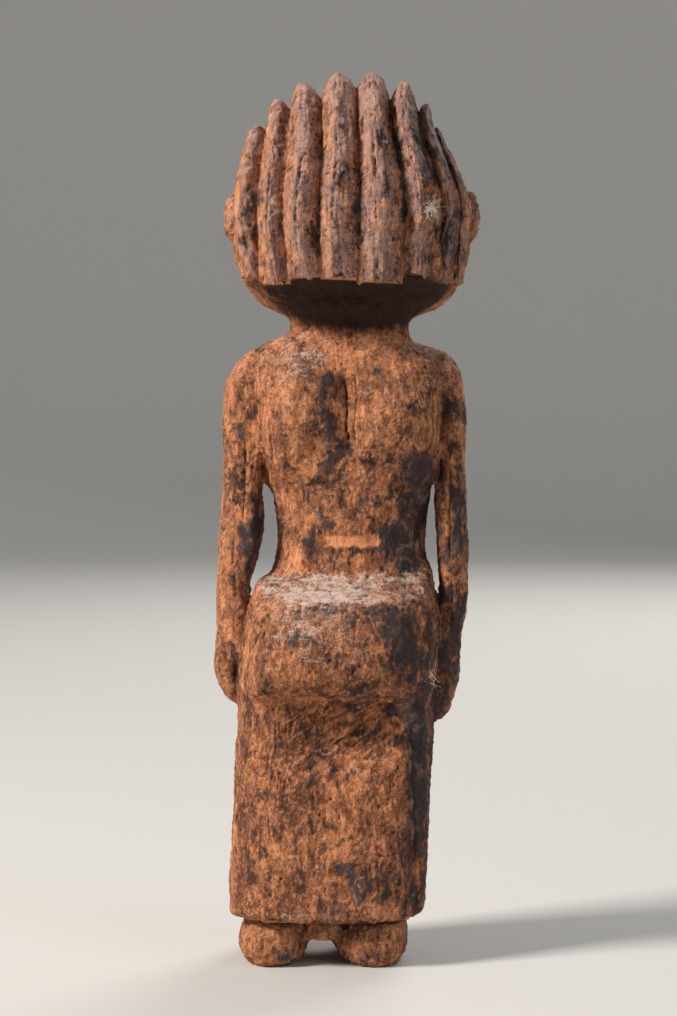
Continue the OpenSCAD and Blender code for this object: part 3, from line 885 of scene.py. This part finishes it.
def wear_braid(mesh, i):
    """Crooked, faceted and split like knife-cut wood, with a torn lower end."""
    low, high = BOX[f"braid_{i}"]
    peak, width = high[1], high[0] - low[0]
    edges, points, normals = edges_of(mesh), points_of(mesh), normals_of(mesh)
    along, radius, turn = along_braids(points)
    flat = np.stack([points[:, 0], radius * 0.6, along], 1)
    length = flat * (0, 0, 1)
    proud = ease(radius, peak * 0.80, peak * 0.97)
    outer = ease(radius, max(peak - 8.5, 3.5), max(peak - 7.5, 4.5))
    share = (high[0] - points[:, 0]) / width
    patina_and_shade = braid_patina_and_shade(points, along)

    # Knife cuts, a long split and torn grain
    sway = 0.8 * bumps(length + (7.0 * i, 0, 0), 22, 41, 2)
    split = 0.36 + 0.07 * bumps(length + (3.0 * i, 0, 0), 16, 43)
    kerf = np.exp(-((share - split) / (0.75 / width + 0.02)) ** 2) \
        * ease(bumps(length + (5.0 * i, 0, 0), 30, 47), -0.2, 0.4)
    nicks = 0.30 * bumps(flat, (2.6, 2.6, 1.0), 51, 2, 0.6)
    grain = 1 - np.abs(bumps(flat, (1.1, 1.1, 14), 53, 2, 0.6))
    near, second, number = chips(flat, (4.5, 5, 9), 57)
    cuts = 0.35 * (1 - ease(second - near, 0, 0.4)) + 0.35 * number
    uneven = 0.8 * bumps(flat, (5, 5, 13), 59, 2)
    frayed = ease(-(points[:, 0] - HEAD_X), 20, 34) * ease(-along, -14, 10)
    furrows = 0.45 * np.clip(grain - 0.6, 0, 1) / 0.4 * (0.6 + 0.9 * frayed)
    amount = (uneven + cuts - 0.5) * (0.4 + 0.6 * proud) - 0.6 * kerf * proud
    amount += nicks + 0.22 * bumps(flat, (1.2, 1.5, 1.5), 55, 2, 0.7) - furrows
    amount += 0.5 * frayed * bumps(flat, (1.2, 2, 9), 61, 2) + 0.2 * ease(patina_and_shade, 0.46, 0.56)
    points += normals * (amount * outer)[:, None]

    # Sunk at the hairline, deeper valleys at the crown, and a wavy edge behind the ears
    radial = np.stack([np.zeros(len(points)), np.cos(turn), np.sin(turn)], 1)
    high_up = ease(points[:, 2], CROWN_Z - 2, CROWN_Z + 20)
    high_up *= ease(points[:, 1], -16, 0)
    brow = ease(turn, math.radians(BOW - 18), math.radians(BOW)) * (turn > 0)
    sunk = 0.50 * np.clip(radius - peak + CORE_DEPTH, 0, 12) * brow ** 2
    points -= radial * (sunk * outer)[:, None]
    deepen = 0.10 if i < 3 else 0.30
    points -= radial * (deepen * np.clip(peak - radius, 0, 9) * high_up * outer)[:, None]
    points[:, 2] += CROWN_LIFT[i - 1] * high_up * outer
    if i in (1, BRAIDS):
        side = share if i == 1 else 1 - share
        rim = (1 - ease(side, 0, 0.3)) * (1 - ease(radius, peak * 0.74, peak * 0.92))
        points += radial * (1.8 * rim * bumps(length, 7, 95, 2))[:, None]
    points[:, 0] += sway * proud * min(width / 10, 1)

    # Torn at the lower end, and drawn in towards the neck and the crown
    fall = np.clip((CROWN_Z - points[:, 2]) / (CROWN_Z - BRAID_END_Z), 0, 1)
    tears = 1.5 * bumps(points * (1, 0.6, 0), (2.6, 3, 3), 63, 3, 0.7) * (0.3 + 0.7 * proud)
    tears = tears + 0.5 + 1.1 * math.sin(2.3 * i)
    points[:, 2] += tears * ease(fall, 0.5, 1) * (points[:, 1] > 0)
    points[:, 0] = HEAD_X + (points[:, 0] - HEAD_X) * (1 - 0.085 * ease(fall, 0.25, 1.3))
    points[:, 1] *= 1 - 0.14 * ease(fall, 0.2, 1.3)
    fanned(points)
    set_points(mesh, points)
    mesh.shade_smooth()

    # What the finishes read
    normals = normals_of(mesh)
    settle(mesh, edges, points, normals)
    store(mesh, "patina_and_shade", patina_and_shade - 0.06 * proud)
    grown_along(mesh, np.stack([points[:, 0], radius, along], 1))
    crest = 0.12 + 0.44 * ease(radius, peak * 0.87, peak * 0.99)
    pale = 0.30 * ease(normals[:, 2], 0.1, 0.9) + 0.55 * bumps(flat, (2.4, 2.4, 5), 67, 3, 0.7)
    store(mesh, "dust", np.clip(crest + pale, 0, 1))


def braid_patina_and_shade(points, along):
    """Dark patina in flecks, thickened on the right of the head as painted shade."""
    flat = np.stack([points[:, 0], points[:, 1] * 0.5, along], 1)
    field = 0.26 + 0.22 * bumps(flat, (4, 5, 9), 73, 3, 0.65)
    field += 0.16 * bumps(flat, (1.5, 1.8, 2.8), 75, 2, 0.7)
    warp = points + 0.8 * strayed(points)
    for across, up, wide, tall, strength in BRAID_SPOTS:
        field += strength * spot(warp, place("skull", across, 1.0, up), (wide, 40, tall))
    # Painted shade: the right of the head is darkened through the patina field.
    return field + 0.16 * ease(-(points[:, 0] - HEAD_X), 17, 27)


# ---------------------------------------------------------------- ears and loose fibres

# Half sizes of an ear in millimetres: outwards, front to back and upwards
EAR_REACH = (4.2, 4.6, 8.0)


def shape_ear(side):
    """A small raised lug with a hollow in it, worked from a ball and sunk halfway in the head."""
    node = "ear_left" if side > 0 else "ear_right"
    low, high = BOX[node]
    middle = (low + high) / 2
    root = (low if side > 0 else high)[0]
    bm = bmesh.new()
    bmesh.ops.create_icosphere(bm, subdivisions=6, radius=MM)
    bmesh.ops.scale(bm, verts=bm.verts, vec=EAR_REACH)
    bmesh.ops.translate(bm, verts=bm.verts, vec=(root * MM, middle[1] * MM, middle[2] * MM))
    mesh = made_mesh(bm, "carved_" + node)
    edges, points, normals = edges_of(mesh), points_of(mesh), normals_of(mesh)
    bowl = spot(points, (root + side * 4, middle[1] - 1, middle[2] + 1), (3, 2.2, 4.4))
    points[:, 0] -= side * 1.7 * bowl
    patina_and_shade = patina_and_shade_field(points)
    amount = weathering(points, patina_and_shade, 0.8) + 0.25 * bumps(points, (1.4, 1.4, 2), 87, 2)
    points += normals * amount[:, None]
    points[:, 0] = np.clip(points[:, 0], cad_low[0] / MM - 1.0, cad_high[0] / MM + 1.0)
    set_points(mesh, points)
    mesh.shade_smooth()
    normals = normals_of(mesh)
    settle(mesh, edges, points, normals)
    store(mesh, "patina_and_shade", patina_and_shade + 0.06)
    grown_along(mesh, points)
    store(mesh, "dust", 0.35 + 0.2 * ease(normals[:, 2], 0, 1))
    return node, mesh


# Tufts of torn wood fibre: name, member, place in its box, outward lean, strands and length
TUFTS = [
    ("fibre_crown_right", "braid_8", (0.1, 0.95, 0.62), (-0.5, 0.3, 0.6), 44, 3.2),
    ("fibre_braid_right", "braid_6", (0.35, 1.02, 0.35), (-0.35, 0.5, -0.6), 60, 3.6),
    ("fibre_ear_right", "ear_right", (0.0, 0.6, 0.25), (-0.8, 0.5, -0.1), 16, 2.6),
    ("fibre_braid_low", "braid_8", (0.1, 0.9, 0.25), (-0.7, 0.6, -0.3), 12, 2.6),
    ("fibre_groove", "braid_3", (0.00, 0.55, 0.94), (-0.1, 0.6, 0.5), 14, 2.4),
    ("fibre_elbow_left", "arm_left", (0.90, 0.90, 0.37), (0.5, 0.7, 0.1), 14, 2.4),
    ("fibre_hip_right", "hip_shelf", (0.05, 0.93, 0.24), (-0.2, 0.4, -0.9), 10, 5.0),
]

# Bends along each strand, and the random seed of the first tuft
TUFT_JOINTS = 6
TUFT_SEED = 101


def twist_tuft(name, where, lean, strands, length, seed):
    """Thin bent strands fanned out from one place, as one mesh."""
    rng = np.random.default_rng(seed)
    bm = bmesh.new()
    for _ in range(strands):
        root = where + rng.normal(0, 1, 3) * (0.8, 0.5, 1.4)
        way = Vector(lean) + Vector(rng.normal(0, 0.55, 3))
        way.normalize()
        curl = Vector(rng.normal(0, 0.35, 3))
        reach = length * rng.uniform(0.45, 1.0)
        made = bmesh.ops.create_circle(bm, cap_ends=True, segments=4,
                                       radius=rng.uniform(0.03, 0.06) * MM)["verts"]
        turn = way.to_track_quat("Z", "Y").to_matrix().to_4x4()
        bmesh.ops.transform(bm, matrix=Matrix.Translation(Vector(root) * MM) @ turn, verts=made)
        tip = made[0].link_faces[:]
        for k in range(TUFT_JOINTS):
            out = bmesh.ops.extrude_face_region(bm, geom=tip)["geom"]
            fresh = [g for g in out if isinstance(g, bmesh.types.BMVert)]
            if k > 0:
                bmesh.ops.delete(bm, geom=tip, context="FACES_ONLY")
            tip = [g for g in out if isinstance(g, bmesh.types.BMFace)]
            step = (way + curl * (k / (TUFT_JOINTS - 1))) * (reach / TUFT_JOINTS * MM)
            bmesh.ops.translate(bm, verts=fresh, vec=step)
            middle = sum((v.co for v in fresh), Vector()) / len(fresh)
            bmesh.ops.scale(bm, verts=fresh, vec=(0.86,) * 3, space=Matrix.Translation(-middle))
    bmesh.ops.recalc_face_normals(bm, faces=bm.faces)
    mesh = made_mesh(bm, name)
    mesh.shade_smooth()
    return mesh


# ---------------------------------------------------------------- finishes

class NodeBench:
    """Adds nodes to one shader tree. An input given a socket is linked, any other is set."""

    def __init__(self, tree):
        self.tree = tree

    def add(self, kind, inputs=None, **settings):
        node = self.tree.nodes.new(kind)
        for name, value in settings.items():
            setattr(node, name, value)
        for key, value in (inputs or {}).items():
            if isinstance(value, bpy.types.NodeSocket):
                self.tree.links.new(value, node.inputs[key])
            else:
                node.inputs[key].default_value = value
        return node

    def noise(self, vector, scale, detail=4.0, rough=0.6, twist=0.0):
        return self.add("ShaderNodeTexNoise", {
            "Vector": vector, "Scale": scale, "Detail": detail, "Roughness": rough,
            "Distortion": twist}).outputs[0]

    def ramp(self, value, low, high, to_low=0.0, to_high=1.0):
        return self.add("ShaderNodeMapRange", {
            "Value": value, "From Min": low, "From Max": high, "To Min": to_low,
            "To Max": to_high}, interpolation_type="SMOOTHSTEP").outputs[0]

    def math(self, how, a, b):
        return self.add("ShaderNodeMath", {0: a, 1: b}, operation=how).outputs[0]

    def plus(self, total, *others):
        for other in others:
            total = self.math("ADD", total, other)
        return total

    def minus(self, a, b):
        return self.math("SUBTRACT", a, b)

    def times(self, a, b):
        return self.math("MULTIPLY", a, b)

    def mix(self, share, a, b, how="MIX"):
        return self.add("ShaderNodeMix", {0: share, 6: a, 7: b}, data_type="RGBA",
                        blend_type=how).outputs[2]

    def stretched(self, vector, x, y, z, shift=0.0):
        return self.add("ShaderNodeMapping", {"Vector": vector, "Scale": (x, y, z),
                                              "Location": (shift,) * 3}).outputs[0]

    def kept(self, name):
        return self.add("ShaderNodeAttribute", attribute_name=name).outputs["Fac"]


def opened_group(name, inputs, outputs):
    """A shader group with its named sockets; returns the group, a bench and its two ends."""
    group = bpy.data.node_groups.new(name, "ShaderNodeTree")
    for label, kind, default in inputs:
        socket = group.interface.new_socket(label, in_out="INPUT", socket_type=kind)
        socket.default_value = default
    for label, kind in outputs:
        group.interface.new_socket(label, in_out="OUTPUT", socket_type=kind)
    bench = NodeBench(group)
    return group, bench, bench.add("NodeGroupInput").outputs, bench.add("NodeGroupOutput").inputs


def worn_wood_group():
    """Bare wood with worn red skin, dusty film, flaking dark patina with painted side shade, dust,
    and hollows darkened by dirt and painted shade.
    """
    colour, number = "NodeSocketColor", "NodeSocketFloat"
    group, bench, given, result = opened_group(
        "worn_wood",
        [("Bare wood", colour, (0.5, 0.2, 0.07, 1)), ("Pale wood", colour, (0.7, 0.35, 0.15, 1)),
         ("Red skin", colour, (0.2, 0.07, 0.03, 1)), ("Patina", colour, (0.02, 0.02, 0.03, 1)),
         ("Film", colour, (0.3, 0.2, 0.15, 1)), ("Dust", colour, (0.6, 0.45, 0.35, 1)),
         ("Dirt and shade", colour, (0.05, 0.02, 0.01, 1)), ("Patina spread", number, 0.0),
         ("Film amount", number, 0.0), ("Red amount", number, 0.0)],
        [("Color", colour), ("Roughness", number), ("Height", number)])
    where = bench.add("ShaderNodeAttribute", attribute_name="grain").outputs["Vector"]

    def spread(value, gain):
        """A noise brought around zero and scaled."""
        return bench.times(bench.minus(value, 0.5), gain)

    streak = bench.noise(bench.stretched(where, 1, 1, 0.18), 800, 5, 0.68, 0.3)
    broad = bench.noise(bench.stretched(where, 1, 1, 0.6), 105, 5, 0.62, 0.3)
    mottle = bench.noise(bench.stretched(where, 1, 1, 0.75), 310, 7, 0.74, 0.5)
    other = bench.noise(bench.stretched(where, 1.1, 1.1, 0.8, 0.37), 420, 7, 0.76, 0.4)
    broken = bench.noise(bench.stretched(where, 1, 1, 0.7, 0.71), 180, 7, 0.7, 0.6)
    fine = bench.noise(where, 1700, 5, 0.75)
    hollow, form, clean = bench.kept("hollow"), bench.kept("form"), bench.kept("bare")
    settled = bench.kept("dust")

    # Bare wood with paler raised grain, and what is left of the red skin over it
    wood = bench.mix(bench.ramp(streak, 0.36, 0.66), given["Bare wood"], given["Pale wood"])
    red = bench.plus(mottle, spread(broad, 1.0), spread(streak, 0.4),
                     bench.minus(given["Red amount"], bench.times(clean, 0.3)))
    wood = bench.mix(bench.ramp(red, 0.44, 0.66, 0.0, 0.88), wood, given["Red skin"])

    # Thin film, kept off sunken forms and the fresh cut
    film = bench.plus(other, spread(fine, 1.2), given["Film amount"], bench.times(settled, 0.45))
    sunk = bench.ramp(form, 0.52, 0.66)
    film = bench.minus(film, bench.times(bench.plus(sunk, clean), 0.22))
    wood = bench.mix(bench.ramp(film, 0.50, 0.72, 0.0, 0.85), wood, given["Film"])

    # Flakes of dark patina, themselves worn through to red skin and film; the patina field also
    # carries painted shade on the right side
    flake = bench.plus(bench.kept("patina_and_shade"), given["Patina spread"], spread(mottle, 1.6),
                       spread(fine, 1.3), spread(streak, 0.9))
    dark = bench.ramp(flake, 0.40, 0.64)
    skin = bench.mix(bench.ramp(other, 0.35, 0.70), given["Patina"], given["Red skin"])
    skin = bench.mix(bench.ramp(streak, 0.30, 0.62, 0.15, 0.8), skin, given["Patina"])
    skin = bench.mix(bench.ramp(broken, 0.52, 0.68, 0.0, 0.5), skin, given["Film"])
    wood = bench.mix(bench.times(dark, 0.96), wood, skin)

    # Paler where something proud has been rubbed, partly as painted highlights on proud specks,
    # then a broken light and dark tone
    rubbed_and_highlight = bench.times(bench.ramp(hollow, 0.46, 0.26, 0.0, 0.6), bench.minus(1.0, dark))
    wood = bench.mix(rubbed_and_highlight, wood, given["Pale wood"])
    tone = bench.plus(broken, spread(fine, 1.1), spread(streak, 0.5), bench.times(clean, 0.12))
    wood = bench.mix(1.0, wood, bench.ramp(tone, 0.32, 0.68, 0.50, 1.40), "MULTIPLY")

    # Dust on ledges, and dirt with painted shade in hollows, under the hair and under the hem,
    # over everything
    dust = bench.plus(settled, spread(other, 2.0), spread(fine, 1.6))
    dust = bench.ramp(dust, 0.42, 1.08, 0.0, 0.88)
    wood = bench.mix(dust, wood, given["Dust"])
    dirt_and_shade = bench.math("MAXIMUM", bench.ramp(hollow, 0.57, 0.95, 0.0, 0.75),
                      bench.ramp(form, 0.53, 0.85, 0.0, 0.98))
    wood = bench.mix(dirt_and_shade, wood, given["Dirt and shade"])

    gloss = bench.plus(bench.ramp(dark, 0, 1, 0.86, 0.62), spread(fine, 0.2))
    height = bench.plus(bench.times(streak, 0.7), bench.times(mottle, 0.5),
                        bench.times(fine, 0.6), bench.times(dark, 0.25))
    group.links.new(wood, result["Color"])
    group.links.new(bench.plus(gloss, bench.times(dust, 0.2)), result["Roughness"])
    group.links.new(height, result["Height"])
    return group


def bare_material(name):
    """A material with an empty shader tree, and a bench for it."""
    material = bpy.data.materials.new(name)
    material.use_nodes = True
    material.node_tree.nodes.clear()
    return material, NodeBench(material.node_tree)


def wood_finish(slot, group, settings, values, colours=None):
    """One material: the worn wood group with its own values, and its shader."""
    material, bench = bare_material("worn_" + slot)
    wear = bench.add("ShaderNodeGroup", node_tree=group)
    wanted = {"Bare wood": settings.bare_colour, "Pale wood": settings.pale_colour,
              "Red skin": settings.red_colour, "Patina": settings.patina_colour,
              "Film": settings.film_colour, "Dust": settings.dust_colour,
              "Dirt and shade": settings.dirt_and_shade_colour}
    wanted.update(colours or {})
    for name, value in wanted.items():
        wear.inputs[name].default_value = (*value[:3], 1)
    for name, value in values.items():
        wear.inputs[name].default_value = value
    bump = bench.add("ShaderNodeBump", {"Strength": 1.0, "Distance": 0.6 * MM,
                                        "Height": wear.outputs["Height"]})
    shader = bench.add("ShaderNodeBsdfPrincipled", {
        "Base Color": wear.outputs["Color"], "Roughness": wear.outputs["Roughness"],
        "Normal": bump.outputs["Normal"], "Specular IOR Level": 0.32})
    bench.add("ShaderNodeOutputMaterial", {"Surface": shader.outputs[0]})
    return material


def fibre_finish(settings):
    """Pale dry wood fibre."""
    material, bench = bare_material("torn_fibre")
    where = bench.add("ShaderNodeTexCoord").outputs["Object"]
    tone = bench.ramp(bench.noise(where, 900, 2), 0.35, 0.65)
    colour = bench.mix(tone, (*settings.fibre_colour, 1), (*settings.fibre_tip_colour, 1))
    shader = bench.add("ShaderNodeBsdfPrincipled", {"Base Color": colour, "Roughness": 0.8})
    bench.add("ShaderNodeOutputMaterial", {"Surface": shader.outputs[0]})
    return material


def made_finishes(settings):
    """Make the finishes once, and find each by its material slot."""
    if "torn_fibre" not in bpy.data.materials:
        group = worn_wood_group()
        wood_finish("body_wood", group, settings, {"Film amount": -0.05})
        wood_finish("wrapper_wood", group, settings, {"Red amount": 0.065, "Film amount": -0.09})
        wood_finish("coiffure_wood", group, settings, {},
                    {"Film": settings.crest_colour, "Dust": settings.crest_colour})
        fibre_finish(settings)
    return {slot: bpy.data.materials["worn_" + slot] for slot in set(SLOTS.values())}


# ---------------------------------------------------------------- settings, operators, panel

def colour_setting(name, description, default):
    """A colour that shows in the panel."""
    return FloatVectorProperty(name=name, description=description, subtype="COLOR", size=3,
                               min=0, max=1, default=default)


class CarvingSettings(bpy.types.PropertyGroup):
    grid: FloatProperty(
        name="Carving grid", description="Spacing of the carved surface's points, in millimetres",
        default=0.55, min=0.4, max=2.0)
    bare_colour: colour_setting("Bare wood", "Bare orange-brown wood", (0.40, 0.130, 0.048))
    # Pale wood also paints highlights on proud specks.
    pale_colour: colour_setting("Pale wood", "Raised, worn grain", (0.56, 0.240, 0.107))
    red_colour: colour_setting("Red skin", "Worn red-brown skin", (0.140, 0.048, 0.027))
    patina_colour: colour_setting("Patina", "Old blue-black patina", (0.022, 0.022, 0.030))
    film_colour: colour_setting("Film", "Thin pinkish film of dust", (0.36, 0.20, 0.145))
    dust_colour: colour_setting("Dust", "Dust on the hip shelf", (0.68, 0.53, 0.45))
    crest_colour: colour_setting("Crest dust", "Dust on the braids' crests", (0.37, 0.230, 0.200))
    # The dirt colour also paints the shade in hollows, under the hair and under the hem.
    dirt_and_shade_colour: colour_setting("Dirt and shade", "Dirt and painted shade in the hollows", (0.026, 0.010, 0.005))
    fibre_colour: colour_setting("Fibre", "Torn fibre where it is darkest", (0.62, 0.50, 0.38))
    fibre_tip_colour: colour_setting("Pale fibre", "Torn fibre at its palest", (0.78, 0.72, 0.64))


class StageSettings(bpy.types.PropertyGroup):
    key_power: FloatProperty(name="Key light", description="Power of the large soft light",
                             default=45, min=0, unit="POWER")
    fill_power: FloatProperty(name="Fill light", description="Power of the cool fill light",
                              default=7.5, min=0, unit="POWER")
    floor_colour: colour_setting("Floor", "Plain pale floor", (0.60, 0.59, 0.575))
    air_colour: colour_setting("Air", "Light from all around", (0.9, 0.95, 1.0))
    air_strength: FloatProperty(name="Air light", description="Strength of the light all around",
                                default=0.26, min=0)
    distance: FloatProperty(name="Camera distance", description="From the figure's axis",
                            default=0.83, min=0.3, unit="LENGTH")
    lens: FloatProperty(name="Lens", description="Focal length in millimetres", default=92.8,
                        min=20)


class DOLL_OT_blank(bpy.types.Operator):
    """Rough out, carve and weather the whole figure below the hair"""
    bl_idname = "doll.carve_blank"
    bl_label = "Carve the blank"

    def execute(self, context):
        carve_blank(context.scene.doll_carving.grid)
        return {"FINISHED"}


class MemberOperator:
    """Frees the members listed in `members` from the blank and finishes them."""

    def execute(self, context):
        if "carved_blank" not in bpy.data.meshes:
            raise RuntimeError("Carve the blank first")
        carve_members(self.members, made_finishes(context.scene.doll_carving))
        return {"FINISHED"}


class DOLL_OT_feet(MemberOperator, bpy.types.Operator):
    """Free the two feet and the wood between them"""
    bl_idname = "doll.feet"
    bl_label = "Feet"
    members = ["foot_left", "foot_right", "leg_bridge"]


class DOLL_OT_wrapper(MemberOperator, bpy.types.Operator):
    """Free the long wrapper and the hip shelf above it"""
    bl_idname = "doll.wrapper"
    bl_label = "Wrapper and hips"
    members = ["wrapper", "hip_shelf"]


class DOLL_OT_trunk(MemberOperator, bpy.types.Operator):
    """Free the waist, chest, breasts and navel"""
    bl_idname = "doll.trunk"
    bl_label = "Trunk"
    members = ["abdomen", "navel", "chest", "breast_left", "breast_right"]


class DOLL_OT_arms(MemberOperator, bpy.types.Operator):
    """Free the arms and hands"""
    bl_idname = "doll.arms"
    bl_label = "Arms and hands"
    members = ["arm_left", "arm_right", "hand_left", "hand_right"]


class DOLL_OT_head(MemberOperator, bpy.types.Operator):
    """Free the neck, jaw, skull, face and nose"""
    bl_idname = "doll.head"
    bl_label = "Head"
    members = ["neck", "jaw", "skull", "face", "nose"]


class DOLL_OT_braids(bpy.types.Operator):
    """Bend the braids over the crown and wear them"""
    bl_idname = "doll.braids"
    bl_label = "Braids"

    def execute(self, context):
        settings = context.scene.doll_carving
        material = made_finishes(settings)["coiffure_wood"]
        for i in range(1, BRAIDS + 1):
            mesh = bend_braid(i, settings.grid)
            wear_braid(mesh, i)
            finish_piece(f"carved_braid_{i}", mesh, [f"braid_{i}"], material)
        return {"FINISHED"}


class DOLL_OT_ears(bpy.types.Operator):
    """Carve the two ears"""
    bl_idname = "doll.ears"
    bl_label = "Ears"

    def execute(self, context):
        material = made_finishes(context.scene.doll_carving)["body_wood"]
        for side in (1, -1):
            node, mesh = shape_ear(side)
            finish_piece("carved_" + node, mesh, [node], material)
        return {"FINISHED"}


class DOLL_OT_fibres(bpy.types.Operator):
    """Add the tufts of torn fibre"""
    bl_idname = "doll.fibres"
    bl_label = "Torn fibres"

    def execute(self, context):
        made_finishes(context.scene.doll_carving)
        material = bpy.data.materials["torn_fibre"]
        for number, (name, member, where, lean, strands, length) in enumerate(TUFTS):
            root = place(member, *where)[None]
            fanned(root)
            mesh = twist_tuft(name, root[0], lean, strands, length, TUFT_SEED + number)
            finish_piece(name, mesh, [], material)
        return {"FINISHED"}


# Soft lights: name, place in metres, size, which power setting, share of it, and colour
LIGHTS = [
    ("key_light", (1.30, 0.72, 1.25), 0.40, "key_power", 1.0, (1.0, 0.94, 0.86)),
    ("fill_light", (-1.55, 1.35, 1.0), 1.2, "fill_power", 1.0, (0.78, 0.87, 1.0)),
    ("front_light", (-0.70, -1.55, 1.25), 1.0, "key_power", 0.45, (1.0, 0.97, 0.93)),
]

# The camera's place across the figure in metres, and shares of the figure's height
CAMERA_X = 0.0027
EYE_LEVEL = 0.61
AIM_LEVEL = 0.5099
LIT_LEVEL = 0.55


def area_light(name, where, aim, size, power, colour):
    """A square soft light that faces a point."""
    data = bpy.data.lights.new(name, "AREA")
    data.size = size
    data.energy = power
    data.color = colour
    light = in_scene(name, data)
    light.location = where
    light.rotation_euler = (Vector(aim) - Vector(where)).to_track_quat("-Z", "Y").to_euler()


def lay_floor(colour):
    """A plain round floor that curves up into a plain wall all the way around, in metres."""
    flat, bend, wall, steps = 2.4, 1.1, 3.4, 12
    bm = bmesh.new()
    profile = [(0, 0), (0.6, 0), (1.2, 0), (flat, 0)]
    for k in range(1, steps + 1):
        turn = k / steps * math.pi / 2
        profile.append((flat + bend * math.sin(turn), bend * (1 - math.cos(turn))))
    profile.append((flat + bend, wall))
    verts = [bm.verts.new((x, 0, z)) for x, z in profile]
    edges = [bm.edges.new(pair) for pair in zip(verts, verts[1:])]
    bmesh.ops.spin(bm, geom=verts + edges, cent=(0, 0, 0), axis=(0, 0, 1), dvec=(0, 0, 0),
                   angle=2 * math.pi, steps=96, use_merge=True)
    bmesh.ops.remove_doubles(bm, verts=bm.verts, dist=1e-6)
    bmesh.ops.recalc_face_normals(bm, faces=bm.faces)
    mesh = made_mesh(bm, "studio_floor")
    mesh.shade_smooth()
    floor = in_scene("studio_floor", mesh)
    material, bench = bare_material("studio_floor")
    shader = bench.add("ShaderNodeBsdfPrincipled", {"Base Color": (*colour, 1), "Roughness": 0.9})
    bench.add("ShaderNodeOutputMaterial", {"Surface": shader.outputs[0]})
    mesh.materials.append(material)


class DOLL_OT_stage(bpy.types.Operator):
    """Lay the floor, hang the lights and set the camera behind the figure"""
    bl_idname = "doll.stage"
    bl_label = "Stage"

    def execute(self, context):
        settings = context.scene.doll_stage
        lay_floor(tuple(settings.floor_colour))
        top = cad_high[2]
        for name, where, size, power, share, colour in LIGHTS:
            area_light(name, where, (0, 0, LIT_LEVEL * top), size,
                       getattr(settings, power) * share, colour)
        context.scene.view_settings.view_transform = "Standard"
        world = bpy.data.worlds.new("studio_air")
        world.use_nodes = True
        air = world.node_tree.nodes["Background"].inputs
        air["Color"].default_value = (*settings.air_colour, 1)
        air["Strength"].default_value = settings.air_strength
        context.scene.world = world
        lens = bpy.data.cameras.new("camera")
        lens.lens = settings.lens
        lens.sensor_fit = "VERTICAL"
        lens.sensor_height = 36
        camera = in_scene("camera", lens)
        camera.location = (CAMERA_X, settings.distance, EYE_LEVEL * top)
        aim = Vector((CAMERA_X, 0, AIM_LEVEL * top))
        camera.rotation_euler = (aim - camera.location).to_track_quat("-Z", "Y").to_euler()
        context.scene.camera = camera
        return {"FINISHED"}


class DOLL_PT_panel(bpy.types.Panel):
    bl_label = "Carved Doll"
    bl_idname = "DOLL_PT_panel"
    bl_space_type = "VIEW_3D"
    bl_region_type = "UI"
    bl_category = "Carving"

    def draw(self, context):
        for settings in (context.scene.doll_carving, context.scene.doll_stage):
            for name in settings.__annotations__:
                self.layout.prop(settings, name)
        for operator in OPERATORS:
            self.layout.operator(operator.bl_idname)


OPERATORS = [DOLL_OT_blank, DOLL_OT_feet, DOLL_OT_wrapper, DOLL_OT_trunk, DOLL_OT_arms,
             DOLL_OT_head, DOLL_OT_braids, DOLL_OT_ears, DOLL_OT_fibres, DOLL_OT_stage]


def register():
    for item in [CarvingSettings, StageSettings] + OPERATORS + [DOLL_PT_panel]:
        bpy.utils.register_class(item)
    bpy.types.Scene.doll_carving = PointerProperty(type=CarvingSettings)
    bpy.types.Scene.doll_stage = PointerProperty(type=StageSettings)


def unregister():
    del bpy.types.Scene.doll_stage
    del bpy.types.Scene.doll_carving
    for item in reversed([CarvingSettings, StageSettings] + OPERATORS + [DOLL_PT_panel]):
        bpy.utils.unregister_class(item)


def main():
    register()
    for operator in OPERATORS:
        group, name = operator.bl_idname.split(".")
        getattr(getattr(bpy.ops, group), name)()
    bpy.data.meshes.remove(bpy.data.meshes["carved_blank"])


if __name__ == "__main__":
    main()
